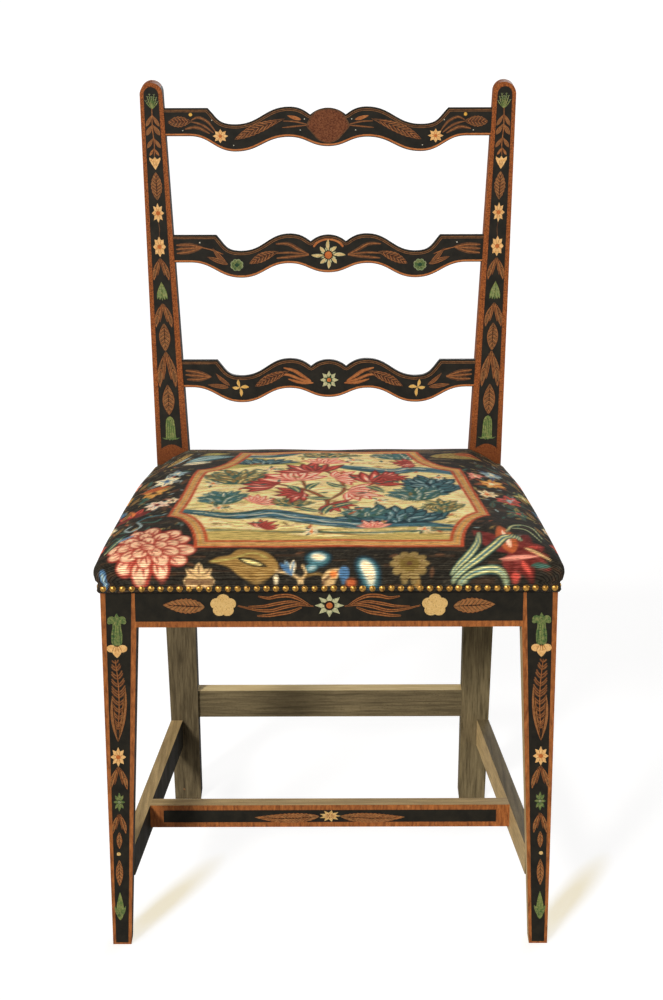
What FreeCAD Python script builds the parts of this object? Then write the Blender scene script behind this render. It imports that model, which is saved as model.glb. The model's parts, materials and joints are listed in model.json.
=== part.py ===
import FreeCAD, Part
import math
import os

# A ladder-back side chair with a stuffed-over seat. Millimetres, +Z up, -Y to the front.
# The origin is on the floor, under the middle of the chair's overall box.

# Front legs: square at the seat frame, tapered on their two inner faces down to the foot
FRONT_WIDTH = 520.0
LEG_TOP = 40.0
LEG_FOOT = 22.0

# Seat frame
FRAME_TOP = 474.0
RAIL_HEIGHT = 65.0
RAIL_THICKNESS = 22.0
SEAT_DEPTH = 384.0
REAR_RAIL_SETBACK = 8.0
RAIL_TENON_LENGTH = 22.0
RAIL_TENON_THICKNESS = 8.0
RAIL_TENON_HAUNCH = 9.0
RAIL_TENON_INSET = 8.0
JOINT_GAP = 0.1

# Back posts: one piece each from foot to rounded top
CHAIR_HEIGHT = 954.0
KNEE_HEIGHT = 458.0
KNEE_RADIUS = 260.0
RAKE = 99.0
HEEL_KICK = 5.5
POST_FOOT_WIDTH = 35.0
POST_SEAT_WIDTH = 42.0
POST_TOP_WIDTH = 28.5
POST_FOOT_DEPTH = 33.0
POST_SEAT_DEPTH = 33.0
POST_TOP_DEPTH = 24.0
REAR_WIDTH_FLOOR = 420.0
REAR_WIDTH_SEAT = 442.0
REAR_WIDTH_TOP = 477.0

# Ladder rails, placed down the raked face of the posts from their tops
CREST_DROP = 31.4
LADDER_PITCH = 159.55
LADDER_THICKNESS = 14.0
LADDER_REVEAL = 1.0
LADDER_END = 35.0
CREST_FLAT_END = 152.5
LADDER_FLAT_END = 143.0
CREST_SCOOP_PLACE = 117.5
LADDER_SCOOP_PLACE = 111.0
SCOOP_DEPTH = 20.5
LOBE_PLACE = 49.0
LOBE_RISE = 1.4
NOTCH_PLACE = 22.5
NOTCH_DEPTH = 8.5
UNDER_FLAT_END = 176.0
UNDER_DIP = 19.5
UNDER_ARCH_PLACE = 50.0
UNDER_ARCH_DROP = 1.2
BOSS_DROP = 13.0
LADDER_TENON_LENGTH = 13.0
LADDER_TENON_THICKNESS = 6.0
LADDER_TENON_MARGIN = 5.0

# Stretchers
STRETCHER_TOP = 117.0
SIDE_STRETCHER_HEIGHT = 38.0
SIDE_STRETCHER_THICKNESS = 15.5
CROSS_STRETCHER_HEIGHT = 30.0
CROSS_STRETCHER_THICKNESS = 18.5
CROSS_STRETCHER_SETBACK = 134.5
REAR_STRETCHER_TOP = 158.0
REAR_STRETCHER_HEIGHT = 38.0
REAR_STRETCHER_THICKNESS = 20.0
REAR_STRETCHER_SETBACK = 5.0
STRETCHER_TENON_LENGTH = 13.0
CROSS_TENON_LENGTH = 6.0
STRETCHER_TENON_THICKNESS = 7.0
STRETCHER_TENON_MARGIN = 5.0

# Glued corner blocks inside the seat frame
BLOCK_REACH = 72.0
BLOCK_HEIGHT = 44.0
BLOCK_DROP = 9.0

# Seat foundation
WEB_WIDTH = 52.0
WEB_THICKNESS = 1.3
WEB_PITCH_ACROSS = 100.0
WEB_PITCH_ALONG = 105.0
WEBS_EACH_WAY = 3
WEB_EDGE_INSET = 5.0
WEB_FLAT_MARGIN = 5.0
TACK_HEAD_RADIUS = 3.2
TACK_HEAD_HEIGHT = 0.9
TACKS_PER_END = 3
TACK_SIDES = 8
TACK_INSET = 8.0
HESSIAN_THICKNESS = 0.8
HESSIAN_INSET = 3.0

# Stuffed seat: the cover drops down the rails to its nailed edge, swells over them and crowns
COVER_THICKNESS = 2.0
LINEN_THICKNESS = 0.8
LAYER_GAP = 0.25
COVER_EDGE_DROP = 23.0
SKIRT_HEIGHT = 12.0
COVER_SWELL = 5.0
SIDE_BOW = 7.0
CROWN_BOW = 1.0
REAR_PINCH = 3.5
CROWN_HEIGHT = 38.0
CROWN_REACH = 158.0
CROWN_POWER = 2.6
CROWN_STEPS = 5
SKIRT_CORNER = 3.0
INNER_CORNER = 0.3
CROWN_CORNER = 34.0
SWELL_SHARE = 0.65
CORNER_FACETS = 3
BOW_FACETS = 5
LINEN_EDGE_DROP = 6.0

# Brass nails
NAIL_RADIUS = 4.0
NAIL_HEIGHT = 2.3
NAIL_PITCH = 10.9
NAIL_MARGIN = 6.0
NAIL_CORNER_CLEARANCE = 6.0
NAIL_SIDES = 8
NAIL_SHOULDER_SHARES = (0.74, 0.62)

CUT_OVERRUN = 30.0

V = FreeCAD.Vector
UP = V(0, 0, 1)
SIDES = {"left": -1, "right": 1}

RAIL_BOTTOM = FRAME_TOP - RAIL_HEIGHT
FRONT_MOST = -(COVER_THICKNESS + COVER_SWELL)
REAR_MOST = SEAT_DEPTH + RAKE + POST_TOP_DEPTH
Y_SHIFT = -(FRONT_MOST + REAR_MOST) / 2
RAKE_ANGLE = math.atan2(RAKE, CHAIR_HEIGHT - KNEE_HEIGHT)
CREST_HEIGHT = math.hypot(RAKE, CHAIR_HEIGHT - KNEE_HEIGHT) - CREST_DROP
COVER_EDGE_HEIGHT = FRAME_TOP - COVER_EDGE_DROP
SKIRT_TOP_HEIGHT = COVER_EDGE_HEIGHT + SKIRT_HEIGHT
FRAME_BACK = SEAT_DEPTH + REAR_RAIL_SETBACK + RAIL_THICKNESS
SIDE_SLOPE = (FRONT_WIDTH - REAR_WIDTH_SEAT) / 2 / SEAT_DEPTH


def along(a, b, share):
    """The value a given share of the way from a to b."""
    return a + (b - a) * share


def post_outer(z):
    """Distance of a post's outer face from the middle of the chair at height z."""
    if z < KNEE_HEIGHT:
        return along(REAR_WIDTH_FLOOR, REAR_WIDTH_SEAT, z / KNEE_HEIGHT) / 2
    return along(REAR_WIDTH_SEAT, REAR_WIDTH_TOP, (z - KNEE_HEIGHT) / (CHAIR_HEIGHT - KNEE_HEIGHT)) / 2


def post_width(z):
    """Width of a post across the chair at height z."""
    if z < KNEE_HEIGHT:
        return along(POST_FOOT_WIDTH, POST_SEAT_WIDTH, z / KNEE_HEIGHT)
    return along(POST_SEAT_WIDTH, POST_TOP_WIDTH, (z - KNEE_HEIGHT) / (CHAIR_HEIGHT - KNEE_HEIGHT))


def post_inner(z):
    """Distance of a post's inner face from the middle of the chair at height z."""
    return post_outer(z) - post_width(z)


def heel_front(z):
    """Depth of the post's front face below the knee."""
    return SEAT_DEPTH + HEEL_KICK * (1 - z / KNEE_HEIGHT)


def leg_width(z):
    """Width of a front leg at height z."""
    return along(LEG_FOOT, LEG_TOP, min(z / RAIL_BOTTOM, 1))


def side_line(y, offset=0.0):
    """Distance from the middle to the seat frame's side, moved outwards by offset, at depth y."""
    return FRONT_WIDTH / 2 - SIDE_SLOPE * y + offset * math.hypot(1, SIDE_SLOPE)


def polygon_prism(points, push):
    """The solid that a closed polygon sweeps along the vector push."""
    return Part.Face(Part.makePolygon(points + [points[0]])).extrude(push)


def block(x0, x1, y0, y1, z0, z1, grow=0.0):
    """A box between the given limits, grown on every side."""
    low = V(min(x0, x1) - grow, y0 - grow, z0 - grow)
    size = V(abs(x1 - x0) + 2 * grow, y1 - y0 + 2 * grow, z1 - z0 + 2 * grow)
    return Part.makeBox(size.x, size.y, size.z, low)


def rounded_wire(corners):
    """A closed wire through corner points, each rounded by its own radius with a tangent arc."""
    edges = []
    count = len(corners)
    joins = []
    for i in range(count):
        point, radius = corners[i]
        before = (corners[i - 1][0] - point).normalize()
        after = (corners[(i + 1) % count][0] - point).normalize()
        half = before.getAngle(after) / 2
        reach = radius / math.tan(half)
        middle = (before + after).normalize() * (radius / math.sin(half) - radius)
        joins.append((point + before * reach, point + middle, point + after * reach))
    for i in range(count):
        start, middle, end = joins[i]
        if corners[i][1] > 0:
            edges.append(Part.Arc(start, middle, end).toShape())
        edges.append(Part.LineSegment(end, joins[(i + 1) % count][0]).toShape())
    return Part.Wire(edges)


def regular_wire(sides, radius, level, centre):
    """A closed wire with equal sides round a centre, raised by level."""
    turns = [2 * math.pi * i / sides for i in range(sides)]
    corners = [centre + V(radius * math.cos(turn), radius * math.sin(turn), level) for turn in turns]
    return Part.makePolygon(corners + corners[:1])


def mirrored(shape):
    """The same shape on the other side of the chair."""
    return shape.mirror(V(0, 0, 0), V(1, 0, 0))


def leg_taper():
    """A front leg's tapered face as (width, height) points."""
    return [(0, 0), (0, FRAME_TOP), (LEG_TOP, FRAME_TOP), (LEG_TOP, RAIL_BOTTOM), (LEG_FOOT, 0)]


def leg_side_view():
    """The front legs' side view, swept across the chair."""
    return polygon_prism([V(-FRONT_WIDTH, w, z) for w, z in leg_taper()], V(2 * FRONT_WIDTH, 0, 0))


def front_leg(side):
    """A front leg: outer faces plumb and in line with the seat, inner faces tapered."""
    s = SIDES[side]
    outer = s * FRONT_WIDTH / 2
    front_view = polygon_prism([V(outer - s * w, -CUT_OVERRUN, z) for w, z in leg_taper()], V(0, FRONT_WIDTH, 0))
    seat = [V(0, 0, 0), V(s * side_line(0), 0, 0), V(s * side_line(SEAT_DEPTH), SEAT_DEPTH, 0), V(0, SEAT_DEPTH, 0)]
    return front_view.common(leg_side_view()).common(polygon_prism(seat, UP * FRAME_TOP))


def post_side_view():
    """The back posts' side view with heel, knee and rake, swept across the chair."""
    profile = rounded_wire([
        (V(0, SEAT_DEPTH + HEEL_KICK, 0), 0),
        (V(0, SEAT_DEPTH, KNEE_HEIGHT), KNEE_RADIUS + POST_SEAT_DEPTH),
        (V(0, SEAT_DEPTH + RAKE, CHAIR_HEIGHT), 0),
        (V(0, SEAT_DEPTH + RAKE + POST_TOP_DEPTH, CHAIR_HEIGHT), 0),
        (V(0, SEAT_DEPTH + POST_SEAT_DEPTH, KNEE_HEIGHT), KNEE_RADIUS),
        (V(0, SEAT_DEPTH + HEEL_KICK + POST_FOOT_DEPTH, 0), 0),
    ])
    profile.translate(V(-FRONT_WIDTH, 0, 0))
    return Part.Face(profile).extrude(V(2 * FRONT_WIDTH, 0, 0))


def back_post(side):
    """A back post: the front view with its round top, met by the side view."""
    s = SIDES[side]
    radius = POST_TOP_WIDTH / 2
    spring = CHAIR_HEIGHT - radius
    top_middle = post_outer(CHAIR_HEIGHT) - radius
    outer = [V(s * post_outer(z), 0, z) for z in (0, KNEE_HEIGHT, spring)]
    inner = [V(s * post_inner(z), 0, z) for z in (spring, KNEE_HEIGHT, 0)]
    edges = [Part.LineSegment(a, b).toShape() for a, b in zip(outer, outer[1:])]
    edges.append(Part.Arc(outer[-1], V(s * top_middle, 0, CHAIR_HEIGHT), inner[0]).toShape())
    edges += [Part.LineSegment(a, b).toShape() for a, b in zip(inner, inner[1:])]
    edges.append(Part.LineSegment(inner[-1], outer[0]).toShape())
    front_view = Part.Face(Part.Wire(edges)).extrude(V(0, REAR_MOST + CUT_OVERRUN, 0))
    return front_view.common(post_side_view())


def rail_tenon(x0, x1, y0, y1, grow=0.0):
    """A seat rail's tenon, haunched below the frame's top."""
    return block(x0, x1, y0, y1, RAIL_BOTTOM + RAIL_TENON_HAUNCH, FRAME_TOP - RAIL_TENON_HAUNCH, grow)


def front_rail_tenon(side, grow=0.0):
    """The front rail's tenon in one leg."""
    shoulder = SIDES[side] * (FRONT_WIDTH / 2 - LEG_TOP)
    end = shoulder + SIDES[side] * RAIL_TENON_LENGTH
    return rail_tenon(shoulder, end, RAIL_TENON_INSET, RAIL_TENON_INSET + RAIL_TENON_THICKNESS, grow)


def rear_rail_tenon(side, grow=0.0):
    """The rear rail's tenon in one post."""
    shoulder = SIDES[side] * (post_inner(RAIL_BOTTOM) - JOINT_GAP)
    end = shoulder + SIDES[side] * RAIL_TENON_LENGTH
    start = SEAT_DEPTH + REAR_RAIL_SETBACK + (RAIL_THICKNESS - RAIL_TENON_THICKNESS) / 2
    return rail_tenon(shoulder, end, start, start + RAIL_TENON_THICKNESS, grow)


def side_rail_tenons(side, grow=0.0):
    """A side rail's two tenons, into the leg and into the post."""
    s = SIDES[side]
    shapes = []
    for y, reach in ((LEG_TOP, -RAIL_TENON_LENGTH), (SEAT_DEPTH, RAIL_TENON_LENGTH)):
        middle = s * (side_line(y) - RAIL_THICKNESS / 2)
        half = RAIL_TENON_THICKNESS / 2
        shapes.append(rail_tenon(middle - half, middle + half, min(y, y + reach), max(y, y + reach), grow))
    return shapes


def front_seat_rail():
    """The front rail, flush with the faces of the legs."""
    shoulder = FRONT_WIDTH / 2 - LEG_TOP
    rail = block(-shoulder, shoulder, 0, RAIL_THICKNESS, RAIL_BOTTOM, FRAME_TOP)
    return rail.fuse([front_rail_tenon(side) for side in SIDES]).removeSplitter()


def rear_seat_rail(posts):
    """The rear rail, scribed between the posts."""
    start = SEAT_DEPTH + REAR_RAIL_SETBACK
    reach = post_outer(KNEE_HEIGHT) - POST_SEAT_WIDTH / 2
    rail = block(-reach, reach, start, FRAME_BACK, RAIL_BOTTOM, FRAME_TOP).cut(list(posts.values()))
    return rail.fuse([rear_rail_tenon(side) for side in SIDES]).removeSplitter()


def side_seat_rail(side):
    """A side rail, following the seat's taper from leg to post."""
    s = SIDES[side]
    plan = []
    for y, inset in ((LEG_TOP, 0), (SEAT_DEPTH, 0), (SEAT_DEPTH, RAIL_THICKNESS), (LEG_TOP, RAIL_THICKNESS)):
        plan.append(V(s * side_line(y, -inset), y, RAIL_BOTTOM))
    rail = polygon_prism(plan, UP * RAIL_HEIGHT)
    return rail.fuse(side_rail_tenons(side)).removeSplitter()


def stretcher_ends(side):
    """Centre points of a side stretcher, flush with its leg's inner and its post's outer face."""
    middle = STRETCHER_TOP - SIDE_STRETCHER_HEIGHT / 2
    front = FRONT_WIDTH / 2 - leg_width(middle) + SIDE_STRETCHER_THICKNESS / 2
    rear = post_outer(middle) - SIDE_STRETCHER_THICKNESS / 2
    return SIDES[side] * front, leg_width(middle), SIDES[side] * rear, heel_front(middle)


def side_stretcher_tenons(side, grow=0.0):
    """The tenons at both ends of a side stretcher."""
    front_x, front_y, rear_x, rear_y = stretcher_ends(side)
    bottom = STRETCHER_TOP - SIDE_STRETCHER_HEIGHT + STRETCHER_TENON_MARGIN
    top = STRETCHER_TOP - STRETCHER_TENON_MARGIN
    half = STRETCHER_TENON_THICKNESS / 2
    root = STRETCHER_TENON_MARGIN
    return [
        block(front_x - half, front_x + half, front_y - STRETCHER_TENON_LENGTH, front_y + root, bottom, top, grow),
        block(rear_x - half, rear_x + half, rear_y - root, rear_y + STRETCHER_TENON_LENGTH, bottom, top, grow),
    ]


def side_stretcher(side):
    """A side stretcher, its shoulders scribed to the tapered leg and the kicked heel."""
    front_x, front_y, rear_x, rear_y = stretcher_ends(side)
    half = SIDE_STRETCHER_THICKNESS / 2
    root = STRETCHER_TENON_MARGIN
    z = STRETCHER_TOP - SIDE_STRETCHER_HEIGHT
    plan = [
        V(front_x - half, front_y - root, z),
        V(rear_x - half, rear_y + root, z),
        V(rear_x + half, rear_y + root, z),
        V(front_x + half, front_y - root, z),
    ]
    bar = polygon_prism(plan, UP * SIDE_STRETCHER_HEIGHT).cut([leg_side_view(), post_side_view()])
    return bar.fuse(side_stretcher_tenons(side)).removeSplitter()


def cross_stretcher_half(extra):
    """Half the cross stretcher's length to the side stretchers' inner faces, plus an extra reach."""
    front_x, front_y, rear_x, rear_y = stretcher_ends("right")
    middle = CROSS_STRETCHER_SETBACK + CROSS_STRETCHER_THICKNESS / 2
    centre = along(front_x, rear_x, (middle - front_y) / (rear_y - front_y))
    return centre - SIDE_STRETCHER_THICKNESS / 2 + extra


def cross_stretcher_tenon(grow=0.0):
    """One bar through the cross stretcher that ends in its two stub tenons."""
    reach = cross_stretcher_half(CROSS_TENON_LENGTH)
    start = CROSS_STRETCHER_SETBACK + (CROSS_STRETCHER_THICKNESS - STRETCHER_TENON_THICKNESS) / 2
    top = STRETCHER_TOP - STRETCHER_TENON_MARGIN
    bottom = STRETCHER_TOP - CROSS_STRETCHER_HEIGHT + STRETCHER_TENON_MARGIN
    return block(-reach, reach, start, start + STRETCHER_TENON_THICKNESS, bottom, top, grow)


def cross_stretcher(side_stretchers):
    """The decorated cross stretcher, housed between the side stretchers."""
    reach = cross_stretcher_half(CROSS_TENON_LENGTH)
    end = CROSS_STRETCHER_SETBACK + CROSS_STRETCHER_THICKNESS
    bottom = STRETCHER_TOP - CROSS_STRETCHER_HEIGHT
    bar = block(-reach, reach, CROSS_STRETCHER_SETBACK, end, bottom, STRETCHER_TOP)
    return bar.cut(side_stretchers).fuse(cross_stretcher_tenon()).removeSplitter()


def rear_stretcher_tenon(grow=0.0):
    """One bar through the rear stretcher that ends in its two tenons."""
    middle = REAR_STRETCHER_TOP - REAR_STRETCHER_HEIGHT / 2
    reach = post_inner(middle) + STRETCHER_TENON_LENGTH
    start = heel_front(middle) + REAR_STRETCHER_SETBACK
    start += (REAR_STRETCHER_THICKNESS - STRETCHER_TENON_THICKNESS) / 2
    top = REAR_STRETCHER_TOP - STRETCHER_TENON_MARGIN
    bottom = REAR_STRETCHER_TOP - REAR_STRETCHER_HEIGHT + STRETCHER_TENON_MARGIN
    return block(-reach, reach, start, start + STRETCHER_TENON_THICKNESS, bottom, top, grow)


def rear_stretcher(posts):
    """The rear stretcher between the posts."""
    middle = REAR_STRETCHER_TOP - REAR_STRETCHER_HEIGHT / 2
    reach = post_outer(middle) - post_width(middle) / 2
    start = heel_front(middle) + REAR_STRETCHER_SETBACK
    bottom = REAR_STRETCHER_TOP - REAR_STRETCHER_HEIGHT
    bar = block(-reach, reach, start, start + REAR_STRETCHER_THICKNESS, bottom, REAR_STRETCHER_TOP)
    return bar.cut(list(posts.values())).fuse(rear_stretcher_tenon()).removeSplitter()


def easy_curve(start, end, ease_share=0.46):
    """A smooth S from one level place to another, as a cubic with level ends."""
    run = V((end.x - start.x) * ease_share, 0, 0)
    curve = Part.BezierCurve()
    curve.setPoles([start, start + run, end - run, end])
    return curve.toShape()


def half_ladder_outline(top, flat_end, scoop_place):
    """Edges of a ladder rail's right half: over the boss, lobe, scoop and end, and back beneath."""
    reach = post_outer(CHAIR_HEIGHT)
    boss_top = V(0, top, 0)
    notch = V(NOTCH_PLACE, top - NOTCH_DEPTH, 0)
    lobe = V(LOBE_PLACE, top + LOBE_RISE, 0)
    scoop = V(scoop_place, top - SCOOP_DEPTH, 0)
    corner = V(flat_end, top, 0)
    under = top - LADDER_END
    boss_radius = (NOTCH_PLACE ** 2 + NOTCH_DEPTH ** 2) / (2 * NOTCH_DEPTH)
    lean = math.asin(NOTCH_PLACE / boss_radius) / 2
    boss_middle = V(boss_radius * math.sin(lean), top - boss_radius * (1 - math.cos(lean)), 0)
    scoop_curve = Part.BezierCurve()
    scoop_pull_share = 0.62
    rise_pull_share = 0.35
    pull = V((flat_end - scoop_place) * scoop_pull_share, 0, 0)
    steep = V(corner.x - (flat_end - scoop_place) * rise_pull_share, corner.y - SCOOP_DEPTH * scoop_pull_share, 0)
    scoop_curve.setPoles([scoop, scoop + pull, steep, corner])
    lobe_curve = Part.BezierCurve()
    shoulder_share = 0.5
    lobe_pull = V((LOBE_PLACE - NOTCH_PLACE) * shoulder_share, 0, 0)
    notch_pull = V(lobe_pull.x * shoulder_share, (NOTCH_DEPTH + LOBE_RISE) * shoulder_share, 0)
    lobe_curve.setPoles([notch, notch + notch_pull, lobe - lobe_pull, lobe])
    end_bottom = V(reach, under, 0)
    flat_bottom = V(UNDER_FLAT_END, under, 0)
    dip = V(scoop_place, under - UNDER_DIP, 0)
    arch = V(UNDER_ARCH_PLACE, under - UNDER_ARCH_DROP, 0)
    boss_bottom = V(0, under - BOSS_DROP, 0)
    return [
        Part.Arc(boss_top, boss_middle, notch).toShape(),
        lobe_curve.toShape(),
        easy_curve(lobe, scoop),
        scoop_curve.toShape(),
        Part.LineSegment(corner, V(reach, top, 0)).toShape(),
        Part.LineSegment(V(reach, top, 0), end_bottom).toShape(),
        Part.LineSegment(end_bottom, flat_bottom).toShape(),
        easy_curve(flat_bottom, dip),
        easy_curve(dip, arch),
        easy_curve(arch, boss_bottom),
    ]


def on_the_rake(shape):
    """Places a shape drawn flat (X across, Y up the back) on the raked face of the posts."""
    turn = FreeCAD.Rotation(V(1, 0, 0), 90 - math.degrees(RAKE_ANGLE))
    shape.Placement = FreeCAD.Placement(V(0, SEAT_DEPTH, KNEE_HEIGHT), turn)
    return shape


def ladder_tenon(top, side, grow=0.0):
    """A ladder rail's tenon in one post."""
    s = SIDES[side]
    middle = KNEE_HEIGHT + (top - LADDER_END / 2) * math.cos(RAKE_ANGLE)
    root = s * (post_inner(middle) - LADDER_TENON_MARGIN)
    end = s * (post_inner(middle) + LADDER_TENON_LENGTH)
    deep = -LADDER_REVEAL - (LADDER_THICKNESS - LADDER_TENON_THICKNESS) / 2
    low = top - LADDER_END + LADDER_TENON_MARGIN
    return on_the_rake(block(root, end, low, top - LADDER_TENON_MARGIN, deep - LADDER_TENON_THICKNESS, deep, grow))


def ladder_rail(top, flat_end, scoop_place, posts):
    """A serpentine ladder rail with its centre boss, shouldered against the splayed posts."""
    right = Part.Wire(half_ladder_outline(top, flat_end, scoop_place))
    left = mirrored(right)
    face = Part.Face(Part.Wire(right.Edges + left.Edges))
    face.translate(V(0, 0, -LADDER_REVEAL))
    board = on_the_rake(face.extrude(V(0, 0, -LADDER_THICKNESS)))
    ends = post_inner(KNEE_HEIGHT + top * math.cos(RAKE_ANGLE)) + POST_TOP_WIDTH / 2
    board = board.common(block(-ends, ends, 0, REAR_MOST, KNEE_HEIGHT, CHAIR_HEIGHT))
    board = board.cut(list(posts.values()))
    return board.fuse([ladder_tenon(top, side) for side in SIDES]).removeSplitter()


def corner_block(side, rear, obstacles):
    """A triangular glue block across one inner corner of the seat frame, fitted round the leg or post."""
    s = SIDES[side]
    y = SEAT_DEPTH + REAR_RAIL_SETBACK if rear else RAIL_THICKNESS
    step = -BLOCK_REACH if rear else BLOCK_REACH
    top = FRAME_TOP - BLOCK_DROP
    corner = V(s * side_line(y, -RAIL_THICKNESS), y, top)
    away = V(s * (side_line(y, -RAIL_THICKNESS) - BLOCK_REACH), y, top)
    along_side = V(s * side_line(y + step, -RAIL_THICKNESS), y + step, top)
    return polygon_prism([corner, away, along_side], UP * -BLOCK_HEIGHT).cut(obstacles)


def web_profile(start, end, crossings, first_over):
    """Outline of a web seen edge on: flat on the rails, over and under the webs that it crosses."""
    half = WEB_WIDTH / 2 + WEB_FLAT_MARGIN
    line = [(start, FRAME_TOP)]
    for i, place in enumerate(crossings):
        level = FRAME_TOP + (WEB_THICKNESS if (i % 2 == 0) == first_over else 0)
        line += [(place - half, level), (place + half, level)]
    line.append((end, FRAME_TOP))
    return line + [(p, z + WEB_THICKNESS) for p, z in reversed(line)]


def web_places():
    """Places of the webs across the chair and along it."""
    count = range(WEBS_EACH_WAY)
    middle = (WEBS_EACH_WAY - 1) / 2
    centre = FRAME_BACK / 2
    return [(i - middle) * WEB_PITCH_ACROSS for i in count], [centre + (i - middle) * WEB_PITCH_ALONG for i in count]


def webs():
    """Linen webs interlaced over the seat frame, each its own strip, and the tacks at their ends."""
    across, deep = web_places()
    strips = {}
    tacks = []
    pitch = (WEB_WIDTH - 2 * TACK_INSET) / (TACKS_PER_END - 1)
    offsets = [TACK_INSET - WEB_WIDTH / 2 + i * pitch for i in range(TACKS_PER_END)]
    level = FRAME_TOP + WEB_THICKNESS
    for i, x in enumerate(across):
        start, end = WEB_EDGE_INSET, FRAME_BACK - WEB_EDGE_INSET
        outline = web_profile(start, end, deep, i % 2 == 0)
        points = [V(x - WEB_WIDTH / 2, y, z) for y, z in outline]
        strips["long_web_%d" % (i + 1)] = polygon_prism(points, V(WEB_WIDTH, 0, 0))
        tacks += [V(x + o, y, level) for o in offsets for y in (start + TACK_INSET, end - TACK_INSET)]
    for j, y in enumerate(deep):
        reach = side_line(y, -WEB_EDGE_INSET)
        outline = web_profile(-reach, reach, across, j % 2 == 1)
        points = [V(x, y - WEB_WIDTH / 2, z) for x, z in outline]
        strips["cross_web_%d" % (j + 1)] = polygon_prism(points, V(0, WEB_WIDTH, 0))
        tacks += [V(s * (reach - TACK_INSET), y + o, level) for o in offsets for s in (-1, 1)]
    rims = [regular_wire(TACK_SIDES, TACK_HEAD_RADIUS, 0, place) for place in tacks]
    return strips, Part.makeCompound([Part.Face(rim).extrude(UP * TACK_HEAD_HEIGHT) for rim in rims])


def round_corner(point, before, after, radius):
    """Points on the round of a corner, tangent to the two sides that meet there."""
    towards, onwards = (before - point).normalize(), (after - point).normalize()
    half = towards.getAngle(onwards) / 2
    centre = point + (towards + onwards).normalize() * (radius / math.sin(half))
    first = point + towards * (radius / math.tan(half)) - centre
    last = point + onwards * (radius / math.tan(half)) - centre
    sweep = first.getAngle(last)
    places = []
    for step in range(CORNER_FACETS + 1):
        turn = sweep * step / CORNER_FACETS
        places.append(centre + (first * math.sin(sweep - turn) + last * math.sin(turn)) * (1 / math.sin(sweep)))
    return places


def seat_outline(offset, bow, corner, z, pinch=0.0):
    """The seat's plan at height z, moved outwards by offset: bowed sides, pinched rear, rounded corners."""
    front, rear = -offset, FRAME_BACK + offset
    points = [
        V(side_line(front, offset), front, z),
        V(side_line(rear, offset) - pinch, rear, z),
        V(-side_line(rear, offset) + pinch, rear, z),
        V(-side_line(front, offset), front, z),
    ]
    count = len(points)
    rounds = [round_corner(points[i], points[i - 1], points[(i + 1) % count], corner) for i in range(count)]
    outline = []
    for i, places in enumerate(rounds):
        outline += places
        start, end = places[-1], rounds[(i + 1) % count][0]
        for step in range(1, BOW_FACETS if i % 2 == 0 else 1):
            share = step / BOW_FACETS
            swell = math.copysign(4 * bow * share * (1 - share), start.x)
            outline.append(start + (end - start) * share + V(swell, 0, 0))
    return Part.makePolygon(outline + outline[:1])


def flat_faced_loft(sections):
    """A solid through outlines with equally many corners, with flat faces between them."""
    rings = [[corner.Point for corner in outline.OrderedVertexes] for outline in sections]
    faces = [Part.Face(sections[0]), Part.Face(sections[-1])]
    for lower, upper in zip(rings, rings[1:]):
        for i, corner in enumerate(lower):
            j = (i + 1) % len(lower)
            for side in ([corner, lower[j], upper[j]], [corner, upper[j], upper[i]]):
                faces.append(Part.Face(Part.makePolygon(side + side[:1])))
    solid = Part.makeSolid(Part.makeShell(faces))
    if solid.Volume < 0:
        solid.reverse()
    return solid


def crown_sections(gap):
    """Sections of the seat's swell and crown, a given depth below its outer face."""
    widest = COVER_THICKNESS + COVER_SWELL
    sections = []
    for step in range(CROWN_STEPS + 1):
        turn = math.radians(90) * step / CROWN_STEPS
        inward = math.cos(turn) ** (2 / CROWN_POWER) if step < CROWN_STEPS else 0
        upward = math.sin(turn) ** (2 / CROWN_POWER)
        offset = widest - CROWN_REACH + (CROWN_REACH - gap) * inward
        z = FRAME_TOP + (CROWN_HEIGHT - gap) * upward
        corner = along(CROWN_CORNER, SKIRT_CORNER + COVER_SWELL, inward)
        bow = along(CROWN_BOW, SIDE_BOW, inward)
        sections.append(seat_outline(offset, bow, corner, z, REAR_PINCH * inward))
    return sections


def crowned(lower, gap):
    """A crowned solid from its lower sections up, a given depth below the seat's outer face."""
    return flat_faced_loft(lower + crown_sections(gap))


def seat_cover():
    """The needlework cover: a skin over the crown and swell, straight down the rails to its nailed edge."""
    skins = []
    below = COVER_EDGE_HEIGHT - CUT_OVERRUN
    faces = ((0.0, COVER_EDGE_HEIGHT, SKIRT_CORNER), (COVER_THICKNESS, below, INNER_CORNER))
    for gap, edge, corner in faces:
        offset = COVER_THICKNESS - gap
        swell_height = along(SKIRT_TOP_HEIGHT, FRAME_TOP, SWELL_SHARE / 2)
        lower = [
            seat_outline(offset, 0, corner, edge),
            seat_outline(offset, 0, corner, SKIRT_TOP_HEIGHT),
            seat_outline(offset + COVER_SWELL * SWELL_SHARE, SIDE_BOW * SWELL_SHARE, corner, swell_height),
        ]
        skins.append(crowned(lower, gap))
    return skins[0].cut(skins[1])


def seat_linen():
    """The linen that holds the stuffing, tacked to the rails' upper edges under the cover."""
    gap = COVER_THICKNESS + LAYER_GAP
    edge = FRAME_TOP - LINEN_EDGE_DROP
    outer = crowned([seat_outline(LINEN_THICKNESS, 0, LINEN_THICKNESS, edge)], gap)
    inner = crowned([seat_outline(0, 0, INNER_CORNER, edge)], gap + LINEN_THICKNESS)
    return outer.cut(inner)


def seat_stuffing():
    """The curled hair pad, from the hessian up to the linen."""
    gap = COVER_THICKNESS + LINEN_THICKNESS + 2 * LAYER_GAP
    pad = flat_faced_loft(crown_sections(gap))
    base = FRAME_TOP + 2 * WEB_THICKNESS + HESSIAN_THICKNESS
    reach = FRONT_WIDTH
    return pad.cut(block(-reach, reach, -reach, REAR_MOST, FRAME_TOP - CUT_OVERRUN, base))


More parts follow.
